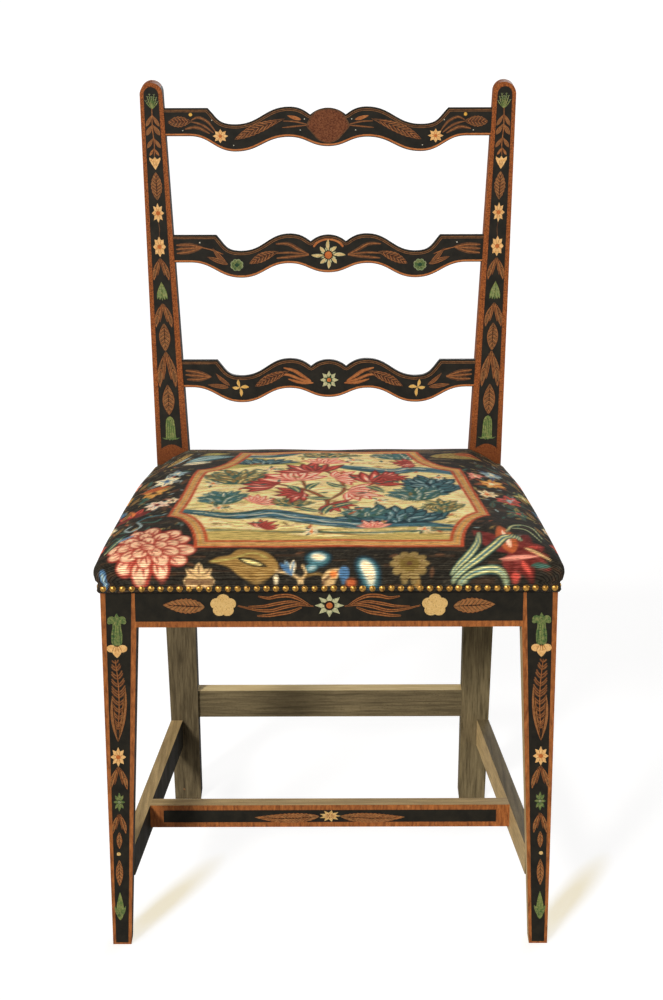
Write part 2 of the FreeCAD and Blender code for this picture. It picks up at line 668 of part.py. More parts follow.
def hessian():
    """The hessian sheet laid over the webs and out on to the rails."""
    level = FRAME_TOP + 2 * WEB_THICKNESS
    return Part.Face(seat_outline(-HESSIAN_INSET, 0, SKIRT_CORNER, level)).extrude(UP * HESSIAN_THICKNESS)


def clear_of_posts(shape, posts):
    """Cuts a seat layer round the posts, and drops what would lie beside and behind them."""
    behind = []
    for s in SIDES.values():
        inner = s * (post_inner(KNEE_HEIGHT) + POST_SEAT_WIDTH / 2)
        start = SEAT_DEPTH + POST_SEAT_DEPTH / 2
        behind.append(block(inner, s * FRONT_WIDTH, start, REAR_MOST, RAIL_BOTTOM, FRAME_TOP + 2 * CROWN_HEIGHT))
        inner_face = s * (post_inner(FRAME_TOP) + JOINT_GAP)
        back = SEAT_DEPTH + POST_SEAT_DEPTH - JOINT_GAP
        behind.append(block(inner_face, s * FRONT_WIDTH, back, REAR_MOST, RAIL_BOTTOM, FRAME_TOP + 2 * CROWN_HEIGHT))
    return shape.cut(list(posts.values()) + behind)


def nail(place, facing):
    """A brass nail's domed head, seated on the cover and facing outwards."""
    width_share, height_share = NAIL_SHOULDER_SHARES
    rim = regular_wire(NAIL_SIDES, NAIL_RADIUS, 0, V(0, 0, 0))
    shoulder = regular_wire(NAIL_SIDES, NAIL_RADIUS * width_share, NAIL_HEIGHT * height_share, V(0, 0, 0))
    head = Part.makeLoft([rim, shoulder, Part.Vertex(0, 0, NAIL_HEIGHT)], True, True)
    head.Placement = FreeCAD.Placement(place, FreeCAD.Rotation(UP, facing))
    return head


def nail_row(start, end, facing):
    """Nails evenly spaced from start to end, as near to the pitch as a whole number allows."""
    gaps = max(1, round((end - start).Length / NAIL_PITCH))
    return [nail(start + (end - start) * (i / gaps), facing) for i in range(gaps + 1)]


def brass_nails():
    """Close nailing along the cover's edge: front, both sides, and the back between the posts."""
    z = COVER_EDGE_HEIGHT + NAIL_MARGIN
    clear = NAIL_CORNER_CLEARANCE
    front = FRONT_WIDTH / 2 + COVER_THICKNESS - clear
    back = post_inner(z) - clear
    heads = nail_row(V(-front, -COVER_THICKNESS, z), V(front, -COVER_THICKNESS, z), V(0, -1, 0))
    rear = FRAME_BACK + COVER_THICKNESS
    heads += nail_row(V(-back, rear, z), V(back, rear, z), V(0, 1, 0))
    for s in SIDES.values():
        start = V(s * side_line(clear, COVER_THICKNESS), clear, z)
        end = V(s * side_line(SEAT_DEPTH - clear, COVER_THICKNESS), SEAT_DEPTH - clear, z)
        heads += nail_row(start, end, V(s, SIDE_SLOPE, 0))
    return Part.makeCompound(heads)


def build():
    """Every piece of the chair, by name."""
    legs = {side: front_leg(side) for side in SIDES}
    posts = {side: back_post(side) for side in SIDES}
    ladder = {
        "crest_rail": (CREST_HEIGHT, CREST_FLAT_END, CREST_SCOOP_PLACE),
        "middle_ladder_rail": (CREST_HEIGHT - LADDER_PITCH, LADDER_FLAT_END, LADDER_SCOOP_PLACE),
        "lower_ladder_rail": (CREST_HEIGHT - 2 * LADDER_PITCH, LADDER_FLAT_END, LADDER_SCOOP_PLACE),
    }
    pieces = {name: ladder_rail(*sizes, posts) for name, sizes in ladder.items()}
    pieces["front_seat_rail"] = front_seat_rail()
    pieces["rear_seat_rail"] = rear_seat_rail(posts)
    stretchers = {side: side_stretcher(side) for side in SIDES}
    pieces["cross_stretcher"] = cross_stretcher(list(stretchers.values()))
    pieces["rear_stretcher"] = rear_stretcher(posts)
    for side in SIDES:
        rail = side_seat_rail(side)
        pieces["side_seat_rail_" + side] = rail
        pieces["side_stretcher_" + side] = stretchers[side].cut(cross_stretcher_tenon(JOINT_GAP))
        for place, rear, carrier in (("front", False, legs[side]), ("rear", True, posts[side])):
            pieces["corner_block_%s_%s" % (place, side)] = corner_block(side, rear, [carrier, rail])
        front_tenon, rear_tenon = side_rail_tenons(side, JOINT_GAP)
        low_front, low_rear = side_stretcher_tenons(side, JOINT_GAP)
        pieces["front_leg_" + side] = legs[side].cut([front_rail_tenon(side, JOINT_GAP), front_tenon, low_front])
        mortises = [rear_rail_tenon(side, JOINT_GAP), rear_tenon, low_rear, rear_stretcher_tenon(JOINT_GAP)]
        mortises += [ladder_tenon(sizes[0], side, JOINT_GAP) for sizes in ladder.values()]
        pieces["back_post_" + side] = posts[side].cut(mortises)
    strips, pieces["web_tacks"] = webs()
    pieces.update(strips)
    layers = {
        "hessian_sheet": hessian(),
        "hair_stuffing": seat_stuffing(),
        "linen_undercover": seat_linen(),
        "needlework_cover": seat_cover(),
    }
    pieces.update({name: clear_of_posts(shape, posts) for name, shape in layers.items()})
    pieces["brass_nails"] = brass_nails()
    return pieces


os.makedirs("parts", exist_ok=True)
for name, shape in build().items():
    shape.translate(V(0, Y_SHIFT, 0))
    shape.exportStep(os.path.join("parts", name + ".step"))
    box = shape.BoundBox
    print(name, len(shape.Solids), "solid", shape.isValid(), round(shape.Volume / 1000, 2), "cm3",
          [round(v, 1) for v in (box.XMin, box.XMax, box.YMin, box.YMax, box.ZMin, box.ZMax)])
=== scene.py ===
"""A painted ladder-back side chair with a needlework seat, dressed over its solids."""
import json
import logging
import math
from dataclasses import dataclass, field
from enum import Enum
from typing import Callable, Iterable, Sequence

import bmesh
import bpy
import numpy as np
from mathutils import Matrix, Vector

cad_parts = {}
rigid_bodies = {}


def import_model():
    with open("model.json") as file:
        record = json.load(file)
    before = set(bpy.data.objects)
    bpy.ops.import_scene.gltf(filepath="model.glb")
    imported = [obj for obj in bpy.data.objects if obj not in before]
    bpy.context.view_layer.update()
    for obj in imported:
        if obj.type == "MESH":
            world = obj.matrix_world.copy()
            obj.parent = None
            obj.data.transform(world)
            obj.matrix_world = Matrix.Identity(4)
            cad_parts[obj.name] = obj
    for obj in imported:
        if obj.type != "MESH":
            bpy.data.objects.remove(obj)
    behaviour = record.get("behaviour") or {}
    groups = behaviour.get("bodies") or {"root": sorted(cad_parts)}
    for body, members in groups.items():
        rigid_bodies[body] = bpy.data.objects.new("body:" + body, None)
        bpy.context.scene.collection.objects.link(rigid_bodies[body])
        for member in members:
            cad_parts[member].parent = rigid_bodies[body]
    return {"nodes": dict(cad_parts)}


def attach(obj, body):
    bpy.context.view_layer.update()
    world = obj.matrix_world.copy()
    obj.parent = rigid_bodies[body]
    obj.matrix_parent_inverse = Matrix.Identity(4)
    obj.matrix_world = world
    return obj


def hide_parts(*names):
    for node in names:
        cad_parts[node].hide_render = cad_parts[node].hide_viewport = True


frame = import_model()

LOG = logging.getLogger("chair")
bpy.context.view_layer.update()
MM = 0.001
MERGE = 1e-6
SIDES = (-1.0, 1.0)
Point = tuple[float, float]

# Measures of the solids in millimetres, and leans as shares.
FRONT_FACE = 250.0
KNEE_HEIGHT = 458.0
POST_INNER = 179.0
SEAT_SLOPE = 0.10156
NAIL_PITCH = 10.9
LEG_AXIS, LEG_LEAN = 250.2, -0.0215
POST_AXIS, POST_LEAN = 200.0, 0.04794
POST_FACE = 382.5


def linear(red: float, green: float, blue: float) -> tuple[float, float, float, float]:
    """Turns a colour read on a screen into the shader's own scale.

    Args:
        red, green, blue: The colour, each from 0 to 255.

    Returns:
        The same colour as linear red, green, blue and a full alpha.
    """
    def one(value: float) -> float:
        """Turns one channel."""
        share = value / 255
        return share / 12.92 if share <= 0.04045 else ((share + 0.055) / 1.055) ** 2.4

    return one(red), one(green), one(blue), 1.0


def only(piece: bpy.types.Object) -> None:
    """Leaves one piece selected and active.

    Args:
        piece: The piece to work on.
    """
    for other in bpy.context.scene.objects:
        other.select_set(False)
    piece.select_set(True)
    bpy.context.view_layer.objects.active = piece


def finish_with(piece: bpy.types.Object, kind: str, **settings: object) -> None:
    """Adds a modifier to a piece and applies it.

    Args:
        piece: The piece to work on.
        kind: The modifier's type.
        settings: Its values.
    """
    only(piece)
    modifier = piece.modifiers.new(kind.title(), kind)
    for key, value in settings.items():
        setattr(modifier, key, value)
    bpy.ops.object.modifier_apply(modifier=modifier.name)


def settle(piece: bpy.types.Object, slot: str, *stands_for: str) -> bpy.types.Object:
    """Rides a finished piece on the chair and hides the solids that it stands for.

    Args:
        piece: The finished piece.
        slot: The record's material slot; not used.
        stands_for: Solids that the piece replaces.

    Returns:
        The same piece.
    """
    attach(piece, "root")
    if stands_for:
        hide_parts(*stands_for)
    LOG.info("%s: %d faces", piece.name, len(piece.data.polygons))
    return piece


def new_object(name: str, data: bpy.types.ID) -> bpy.types.Object:
    """Makes an object and puts it in the scene.

    Args:
        name: The object's name.
        data: Its mesh, lamp or camera.

    Returns:
        The new object.
    """
    made = bpy.data.objects.new(name, data)
    bpy.context.scene.collection.objects.link(made)
    return made


def mesh_object(name: str, bm: bmesh.types.BMesh) -> bpy.types.Object:
    """Makes an object of a worked mesh and frees the workspace.

    Args:
        name: The object's name.
        bm: The worked mesh.

    Returns:
        The new object.
    """
    mesh = bpy.data.meshes.new(name)
    bm.to_mesh(mesh)
    bm.free()
    return new_object(name, mesh)


def merged(node: str) -> bmesh.types.BMesh:
    """Copies a solid's mesh with its doubles merged.

    Args:
        node: The solid's name.

    Returns:
        The copy, to be freed by whoever takes it.
    """
    bm = bmesh.new()
    bm.from_mesh(frame["nodes"][node].data)
    bmesh.ops.remove_doubles(bm, verts=bm.verts, dist=MERGE)
    return bm


class Recipe:
    """A material's node tree, written one node at a time."""

    def __init__(self, name: str) -> None:
        """Starts a material with one plain shader.

        Args:
            name: Its name.
        """
        self.material = bpy.data.materials.new(name)
        self.material.use_nodes = True
        self.tree = self.material.node_tree
        self.shader = self.tree.nodes["Principled BSDF"]

    def node(self, kind: str, inputs: dict | None = None, **settings: object) -> bpy.types.Node:
        """Adds a node.

        Args:
            kind: The node's type, without the word ShaderNode.
            inputs: Values or sockets for its inputs, by name or number.
            settings: Its own settings.

        Returns:
            The new node.
        """
        made = self.tree.nodes.new("ShaderNode" + kind)
        for key, value in settings.items():
            setattr(made, key, value)
        for key, value in (inputs or {}).items():
            self.feed(made, key, value)
        return made

    def feed(self, node: bpy.types.Node, key: str | int, value: object) -> None:
        """Sets an input of a node, or links a socket to it.

        Args:
            node: The node.
            key: The input's name or number.
            value: A value or a socket.
        """
        if isinstance(value, bpy.types.NodeSocket):
            self.tree.links.new(value, node.inputs[key])
        else:
            node.inputs[key].default_value = value

    def place(self, scale: Sequence[float] = (1, 1, 1), turn: Sequence[float] = (0, 0, 0)) -> bpy.types.NodeSocket:
        """Object coordinates, scaled and turned."""
        coords = self.node("TexCoord").outputs["Object"]
        return self.node("Mapping", {"Vector": coords, "Scale": scale, "Rotation": turn}).outputs[0]

    def noise(self, where: bpy.types.NodeSocket, scale: float, detail: float = 4,
            rough: float = 0.55) -> bpy.types.NodeSocket:
        """Cloudy noise at a place."""
        return self.node("TexNoise", {"Vector": where, "Scale": scale, "Detail": detail, "Roughness": rough}).outputs[0]

    def ramp(self, fac: bpy.types.NodeSocket, *stops: tuple[float, tuple]) -> bpy.types.NodeSocket:
        """A colour ramp through the given stops.

        Args:
            fac: Where on the ramp, from 0 to 1.
            stops: Each stop's place and colour.

        Returns:
            The colour.
        """
        ramp = self.node("ValToRGB", {"Fac": fac})
        points = ramp.color_ramp.elements
        while len(points) < len(stops):
            points.new(0.5)
        for point, (place, colour) in zip(points, stops):
            point.position = place
            point.color = colour
        return ramp.outputs[0]

    def mix(self, fac: object, first: object, second: object) -> bpy.types.NodeSocket:
        """A mix of two colours."""
        mixed = self.node("Mix", {0: fac, 6: first, 7: second}, data_type="RGBA")
        return mixed.outputs[2]

    def spots(self, body: object, colour: object, cloud: bpy.types.NodeSocket, start: float,
            end: float) -> bpy.types.NodeSocket:
        """Lays a second colour over the first where a cloud rises from start to end."""
        return self.mix(self.ramp(cloud, (start, BLACK), (end, WHITE)), body, colour)

    def maths(self, kind: str, first: object, second: object = 0.0) -> bpy.types.NodeSocket:
        """One sum on two values."""
        return self.node("Math", {0: first, 1: second}, operation=kind).outputs[0]

    def bump(self, height: bpy.types.NodeSocket, strength: float, distance: float) -> None:
        """Raises the surface by a height."""
        made = self.node("Bump", {"Height": height, "Strength": strength, "Distance": distance})
        self.feed(self.shader, "Normal", made.outputs[0])

    def finish(self, colour: object, rough: object, **constant: object) -> bpy.types.Material:
        """Sets the shader's own values and gives back the material.

        Args:
            colour: The base colour.
            rough: The roughness.
            constant: Other inputs, by name.

        Returns:
            The material.
        """
        self.feed(self.shader, "Base Color", colour)
        self.feed(self.shader, "Roughness", rough)
        for key, value in constant.items():
            self.feed(self.shader, key.replace("_", " "), value)
        return self.material


WHITE = (1.0, 1.0, 1.0, 1.0)
BLACK = (0.0, 0.0, 0.0, 1.0)


@dataclass(frozen=True)
class Timber:
    """Stained and varnished wood with grain, pores and worn places."""

    name: str
    dark: tuple
    light: tuple
    worn: tuple
    grain: tuple = (1.0, 1.0, 1.0)
    wear: float = 0.68
    rough: float = 0.5

    def make(self) -> bpy.types.Material:
        """Builds the wood's material.

        Returns:
            The material.
        """
        r = Recipe(self.name)
        streak = r.noise(r.place(self.grain), 260, 5, 0.65)
        broad = r.noise(r.place(self.grain), 45, 3)
        body = r.ramp(streak, (0.33, self.dark), (0.66, self.light))
        body = r.mix(r.maths("MULTIPLY", r.ramp(broad, (0.35, BLACK), (0.75, WHITE)), 0.35), body, self.dark)
        worn = r.noise(r.place(), 17, 5, 0.7)
        body = r.spots(body, self.worn, worn, self.wear, self.wear + 0.09)
        speck = r.noise(r.place(), 900, 2, 0.5)
        body = r.spots(body, self.dark, speck, 0.57, 0.72)
        r.bump(streak, 0.25, 0.0004)
        rough = r.node("MapRange", {0: broad, 1: 0.3, 2: 0.7, 3: self.rough - 0.08, 4: self.rough + 0.12})
        return r.finish(body, rough.outputs[0], Specular_IOR_Level=0.12)


@dataclass(frozen=True)
class PostTimber:
    """The back posts: painted brown banding above the seat, darkened towards the seat as painted shade, and plain olive
    wood below it.
    """

    above: Timber
    below: Timber
    name: str = "post_wood"
    seat_height: float = 0.478
    shaded_height: float = 0.56

    def make(self) -> bpy.types.Material:
        """Builds one material that changes under the seat.

        Returns:
            The material.
        """
        r = Recipe(self.name)
        streak = r.noise(r.place((1, 1, 0.09)), 300, 5, 0.65)
        fleck = r.noise(r.place(), 700, 3, 0.6)
        height = r.node("SeparateXYZ", {0: r.place()}).outputs[2]
        upper = r.ramp(r.maths("GREATER_THAN", height, self.seat_height), (0.0, BLACK), (1.0, WHITE))
        high = r.ramp(fleck, (0.36, self.above.dark), (0.62, self.above.light))
        # Painted shade: the banding darkens towards the seat, where the seat shades it.
        painted_shade_near_seat = r.node("MapRange", {0: height, 1: self.seat_height, 2: self.shaded_height, 3: 0.75,
                4: 0.0}).outputs[0]
        high = r.mix(painted_shade_near_seat, high, self.above.dark)
        low = r.ramp(streak, (0.33, self.below.dark), (0.66, self.below.light))
        worn = r.noise(r.place(), 22, 5, 0.7)
        low = r.spots(low, self.below.worn, worn, 0.69, 0.76)
        r.bump(streak, 0.2, 0.0004)
        return r.finish(r.mix(upper, low, high), 0.55, Specular_IOR_Level=0.08)


@dataclass(frozen=True)
class Paint:
    """A painted or stained surface with brush variation and fine specks."""

    name: str
    main: tuple
    other: tuple
    scale: float = 160.0
    specks: tuple | None = None
    rough: float = 0.45
    thin: float = 0.62

    def make(self) -> bpy.types.Material:
        """Builds the paint's material.

        Returns:
            The material.
        """
        r = Recipe(self.name)
        cloud = r.noise(r.place(), self.scale, 4, 0.6)
        body = r.ramp(cloud, (0.35, self.main), (0.68, self.other))
        if self.specks:
            speck = r.noise(r.place(), 620, 3, 0.65)
            body = r.spots(body, self.specks, speck, self.thin, self.thin + 0.1)
        r.bump(cloud, 0.15, 0.0002)
        return r.finish(body, self.rough, Specular_IOR_Level=0.08)


@dataclass(frozen=True)
class Cloth:
    """Plain woven cloth or webbing."""

    name: str
    main: tuple
    shade: tuple
    pitch: float
    turn: float = 0.0

    def make(self) -> bpy.types.Material:
        """Builds the weave from two crossed sets of threads.

        Returns:
            The material.
        """
        r = Recipe(self.name)
        waves = []
        for axis in ("X", "Y"):
            where = r.place(turn=(0, 0, self.turn))
            wave = r.node("TexWave", {"Vector": where, "Scale": 0.3142 / self.pitch, "Distortion": 0.6, "Detail": 1.0},
                          bands_direction=axis)
            waves.append(wave.outputs["Fac"])
        weave = r.maths("MAXIMUM", waves[0], waves[1])
        cloud = r.noise(r.place(), 60, 4)
        body = r.ramp(weave, (0.2, self.shade), (0.85, self.main))
        body = r.mix(r.maths("MULTIPLY", cloud, 0.4), body, self.shade)
        r.bump(weave, 0.6, self.pitch * 0.3)
        return r.finish(body, 0.9, Sheen_Weight=0.15)


class HairFinish:
    """Curled horsehair seen as a dark springy mass."""

    def make(self) -> bpy.types.Material:
        """Builds the hair from stretched noise.

        Returns:
            The material.
        """
        r = Recipe("horsehair")
        strand = r.noise(r.place((1, 1, 4)), 420, 6, 0.75)
        body = r.ramp(strand, (0.4, linear(24, 18, 14)), (0.62, linear(92, 72, 54)))
        r.bump(strand, 0.9, 0.002)
        return r.finish(body, 0.85)


class BrassFinish:
    """Old brass, mottled at random from dark dirty patches to bright metal."""

    def make(self) -> bpy.types.Material:
        """Builds the brass.

        Returns:
            The material.
        """
        r = Recipe("old_brass")
        dirt = r.noise(r.place(), 330, 4, 0.6)
        body = r.ramp(dirt, (0.34, linear(104, 66, 26)), (0.52, linear(214, 158, 70)), (0.8, linear(246, 206, 120)))
        rough = r.node("MapRange", {0: dirt, 1: 0.3, 2: 0.7, 3: 0.42, 4: 0.24}).outputs[0]
        r.bump(dirt, 0.15, 0.0002)
        return r.finish(body, rough, Metallic=0.72)


class WoolFinish:
    """Needlework in wool: stitched colours, ribs along the rows and single stitches across them."""

    rib = 2.6

    def make(self) -> bpy.types.Material:
        """Builds the wool from the piece's own colour and thread attributes.

        Returns:
            The material.
        """
        r = Recipe("needlework_wool")
        wool = r.node("Attribute", attribute_name="wool").outputs["Color"]
        thread = r.node("Attribute", attribute_name="thread").outputs["Vector"]
        across = r.node("SeparateXYZ", {0: thread}).outputs[1]
        wobble = r.noise(thread, 0.09, 3)
        row = r.maths("ADD", r.maths("MULTIPLY", across, 2 * math.pi / self.rib), r.maths("MULTIPLY", wobble, 5.0))
        ribs = r.maths("MULTIPLY_ADD", r.maths("SINE", row), 0.5)
        ribs.node.inputs[2].default_value = 0.5
        stitch = r.noise(r.node("Mapping", {"Vector": thread, "Scale": (0.5, 1.5, 1)}).outputs[0], 0.75, 3, 0.7)
        streak = r.noise(r.node("Mapping", {"Vector": thread, "Scale": (0.09, 0.5, 1)}).outputs[0], 0.8, 4, 0.65)
        fibre = r.noise(r.place(), 1500, 2, 0.6)
        # The shade darkens the wool in the grooves between the ribs, varied stitch by stitch: painted shade.
        shade = r.ramp(r.maths("MULTIPLY", ribs, r.maths("ADD", stitch, 0.42)),
                (0.06, linear(158, 146, 138)), (0.42, WHITE))
        toned = r.node("Mix", {0: 1.0, 6: wool, 7: shade}, data_type="RGBA", blend_type="MULTIPLY").outputs[2]
        rows = r.ramp(streak, (0.34, linear(180, 171, 160)), (0.5, linear(230, 224, 216)), (0.62, WHITE))
        toned = r.node("Mix", {0: 0.9, 6: toned, 7: rows}, data_type="RGBA", blend_type="MULTIPLY").outputs[2]
        dusty = r.ramp(streak, (0.6, BLACK), (0.78, WHITE))
        toned = r.mix(r.maths("MULTIPLY", dusty, 0.22), toned, linear(196, 172, 128))
        height = r.maths("ADD", r.maths("MULTIPLY", ribs, 0.7), r.maths("MULTIPLY", r.maths("ADD", stitch, fibre), 0.4))
        r.bump(height, 0.55, 0.0007)
        return r.finish(toned, 0.95, Specular_IOR_Level=0.1, Sheen_Weight=0.02, Sheen_Roughness=0.6)


BAND = Timber("banding_brown", linear(112, 62, 32), linear(188, 114, 58), linear(206, 136, 76),
        (1, 1, 0.25), 0.66, 0.46)
POST_BAND = Timber("post_banding", linear(92, 47, 22), linear(168, 94, 46), linear(190, 116, 60),
        (1, 1, 0.25), 0.66, 0.46)
ALONG_X, ALONG_Y, ALONG_Z = (0.06, 1, 1), (1, 0.06, 1), (1, 1, 0.06)
PLAIN = linear(82, 71, 50), linear(130, 114, 82), linear(186, 130, 78)
# Painted light: paler copies of the plain wood for faces that the lamps light too weakly, such as the stretchers' tops.
PAINTED_LIGHT_TONES = linear(150, 125, 84), linear(204, 174, 122), linear(200, 148, 90)
# Painted shade: a near-black copy of the plain wood for right-facing inner sides.
PAINTED_SHADE_TONES = linear(26, 24, 18), linear(46, 41, 30), linear(70, 52, 34)
PLAIN_X = Timber("plain_wood_across", *PLAIN, ALONG_X, 0.7, 0.55)
PLAIN_Y = Timber("plain_wood_deep", *PLAIN, ALONG_Y, 0.7, 0.55)
PLAIN_Z = Timber("plain_wood_upright", *PLAIN, ALONG_Z, 0.7, 0.55)
# Painted shade: a darker copy of the upright plain wood for the left post below the seat.
PAINTED_SHADE_DEEP_Z = Timber("painted_shade_wood_upright", linear(68, 58, 41), linear(110, 96, 70), linear(160, 112, 68), ALONG_Z, 0.7, 0.55)
# Painted light: the lit copies of the plain wood, one for each grain direction.
PAINTED_LIGHT_X = Timber("painted_light_wood_across", *PAINTED_LIGHT_TONES, ALONG_X, 0.7, 0.55)
PAINTED_LIGHT_Y = Timber("painted_light_wood_deep", *PAINTED_LIGHT_TONES, ALONG_Y, 0.7, 0.55)
PAINTED_LIGHT_Z = Timber("painted_light_wood_upright", *PAINTED_LIGHT_TONES, ALONG_Z, 0.7, 0.55)
# Painted light: the palest copy, for the rear stretcher's top under the seat.
PAINTED_LIGHT_PALE_X = Timber("painted_light_pale_wood", linear(216, 184, 124), linear(250, 226, 166), linear(230, 180, 116),
        ALONG_X, 0.75, 0.55)
# Painted shade: the near-black copy of the plain wood as a material.
PAINTED_SHADE_Z = Timber("painted_shade_wood", *PAINTED_SHADE_TONES, (1, 1, 0.3), 0.75, 0.6)
INNER = Timber("bare_frame_wood", linear(140, 104, 66), linear(196, 156, 106), linear(170, 130, 86),
        (0.08, 1, 1), 0.75, 0.75)
JAPAN = Paint("japan_black", linear(31, 29, 24), linear(42, 38, 31), 90, linear(76, 55, 38), 0.5, 0.68)


class Colour(Enum):
    """The painter's colours for the ornament."""

    LINE = Paint("ornament_line", linear(168, 96, 50), linear(190, 120, 68), 120, linear(112, 60, 32), 0.46, 0.6)
    GROUND = Paint("ornament_ground", linear(32, 30, 25), linear(43, 39, 31), 80, linear(72, 54, 36), 0.5, 0.68)
    LEAF = Paint("ornament_leaf", linear(76, 48, 31), linear(110, 75, 48), 240, linear(54, 36, 25), 0.5, 0.58)
    AMBER = Paint("ornament_amber", linear(120, 80, 48), linear(164, 114, 68), 240, linear(88, 60, 38), 0.5, 0.6)
    BROWN = Paint("ornament_brown", linear(104, 68, 40), linear(144, 99, 60), 240, linear(74, 48, 30), 0.5, 0.58)
    RUST = Paint("ornament_rust", linear(130, 76, 42), linear(170, 108, 60), 260, linear(94, 54, 32), 0.5, 0.58)
    VEIN = Paint("ornament_vein", linear(42, 28, 20), linear(56, 38, 27), 200)
    CREAM = Paint("ornament_cream", linear(232, 190, 132), linear(246, 214, 162), 300, linear(196, 142, 88), 0.5, 0.6)
    GOLD = Paint("ornament_gold", linear(206, 150, 58), linear(226, 176, 84), 300, linear(150, 100, 44), 0.5, 0.6)
    APRICOT = Paint("ornament_apricot", linear(214, 158, 92), linear(236, 192, 128), 300,
            linear(166, 106, 58), 0.5, 0.58)
    STRAW = Paint("ornament_straw", linear(206, 164, 98), linear(222, 186, 122), 300, linear(160, 116, 60), 0.5, 0.56)
    SAGE = Paint("ornament_sage", linear(164, 164, 122), linear(206, 196, 150), 300, linear(100, 112, 76), 0.5, 0.56)
    LIME = Paint("ornament_yellow_green", linear(92, 116, 58), linear(150, 146, 86), 300, linear(58, 74, 42), 0.5, 0.56)
    GREEN = Paint("ornament_green", linear(66, 96, 52), linear(134, 134, 80), 300, linear(40, 62, 38), 0.5, 0.56)
    DEEP = Paint("ornament_deep_green", linear(34, 58, 40), linear(50, 76, 50), 320)
    PALE = Paint("ornament_pale_green", linear(112, 128, 90), linear(160, 160, 118), 320, linear(80, 96, 64), 0.5, 0.58)
    WHITE = Paint("ornament_white", linear(216, 206, 180), linear(232, 224, 204), 320)
    ORANGE = Paint("ornament_orange", linear(170, 86, 40), linear(196, 114, 58), 320, linear(130, 58, 30), 0.5, 0.6)
    BOSS = Paint("ornament_boss", linear(92, 50, 29), linear(130, 78, 48), 420, linear(66, 34, 22), 0.5, 0.54)


@dataclass(frozen=True)
class WorkFace:
    """A flat face of the chair that carries ornament, in millimetres.

    The place (u, v) lies v along the face and side * (centre + lean * v + u) across the chair.
    """

    origin: Vector
    along: Vector
    out: Vector
    centre: float = 0.0
    lean: float = 0.0
    side: float = 1.0

    def at(self, u: float, v: float, lift: float) -> Vector:
        """The point of the chair at a place on the face, in metres."""
        across = Vector((self.side * (self.centre + self.lean * v + u), 0, 0))
        return (self.origin + across + self.along * v + self.out * lift) * MM


def turned(points: Iterable[Point], x: float, y: float, angle: float) -> list[Point]:
    """Turns points by an angle in degrees and moves them to (x, y)."""
    c, s = math.cos(math.radians(angle)), math.sin(math.radians(angle))
    return [(x + c * a - s * b, y + s * a + c * b) for a, b in points]


def smooth_line(points: Sequence[Point], steps: int = 8) -> list[Point]:
    """A smooth line through a few points.

    Args:
        points: The points to pass through.
        steps: New points for each stretch.

    Returns:
        Closer points along a Catmull-Rom curve.
    """
    ends = [points[0], *points, points[-1]]
    line = []
    for a, b, c, d in zip(ends, ends[1:], ends[2:], ends[3:]):
        for step in range(steps):
            t = step / steps
            line.append(tuple(
                0.5 * (2 * q + (r - p) * t + (2 * p - 5 * q + 4 * r - s) * t * t + (3 * q - p - 3 * r + s) * t ** 3)
                for p, q, r, s in zip(a, b, c, d)))
    return [*line, points[-1]]


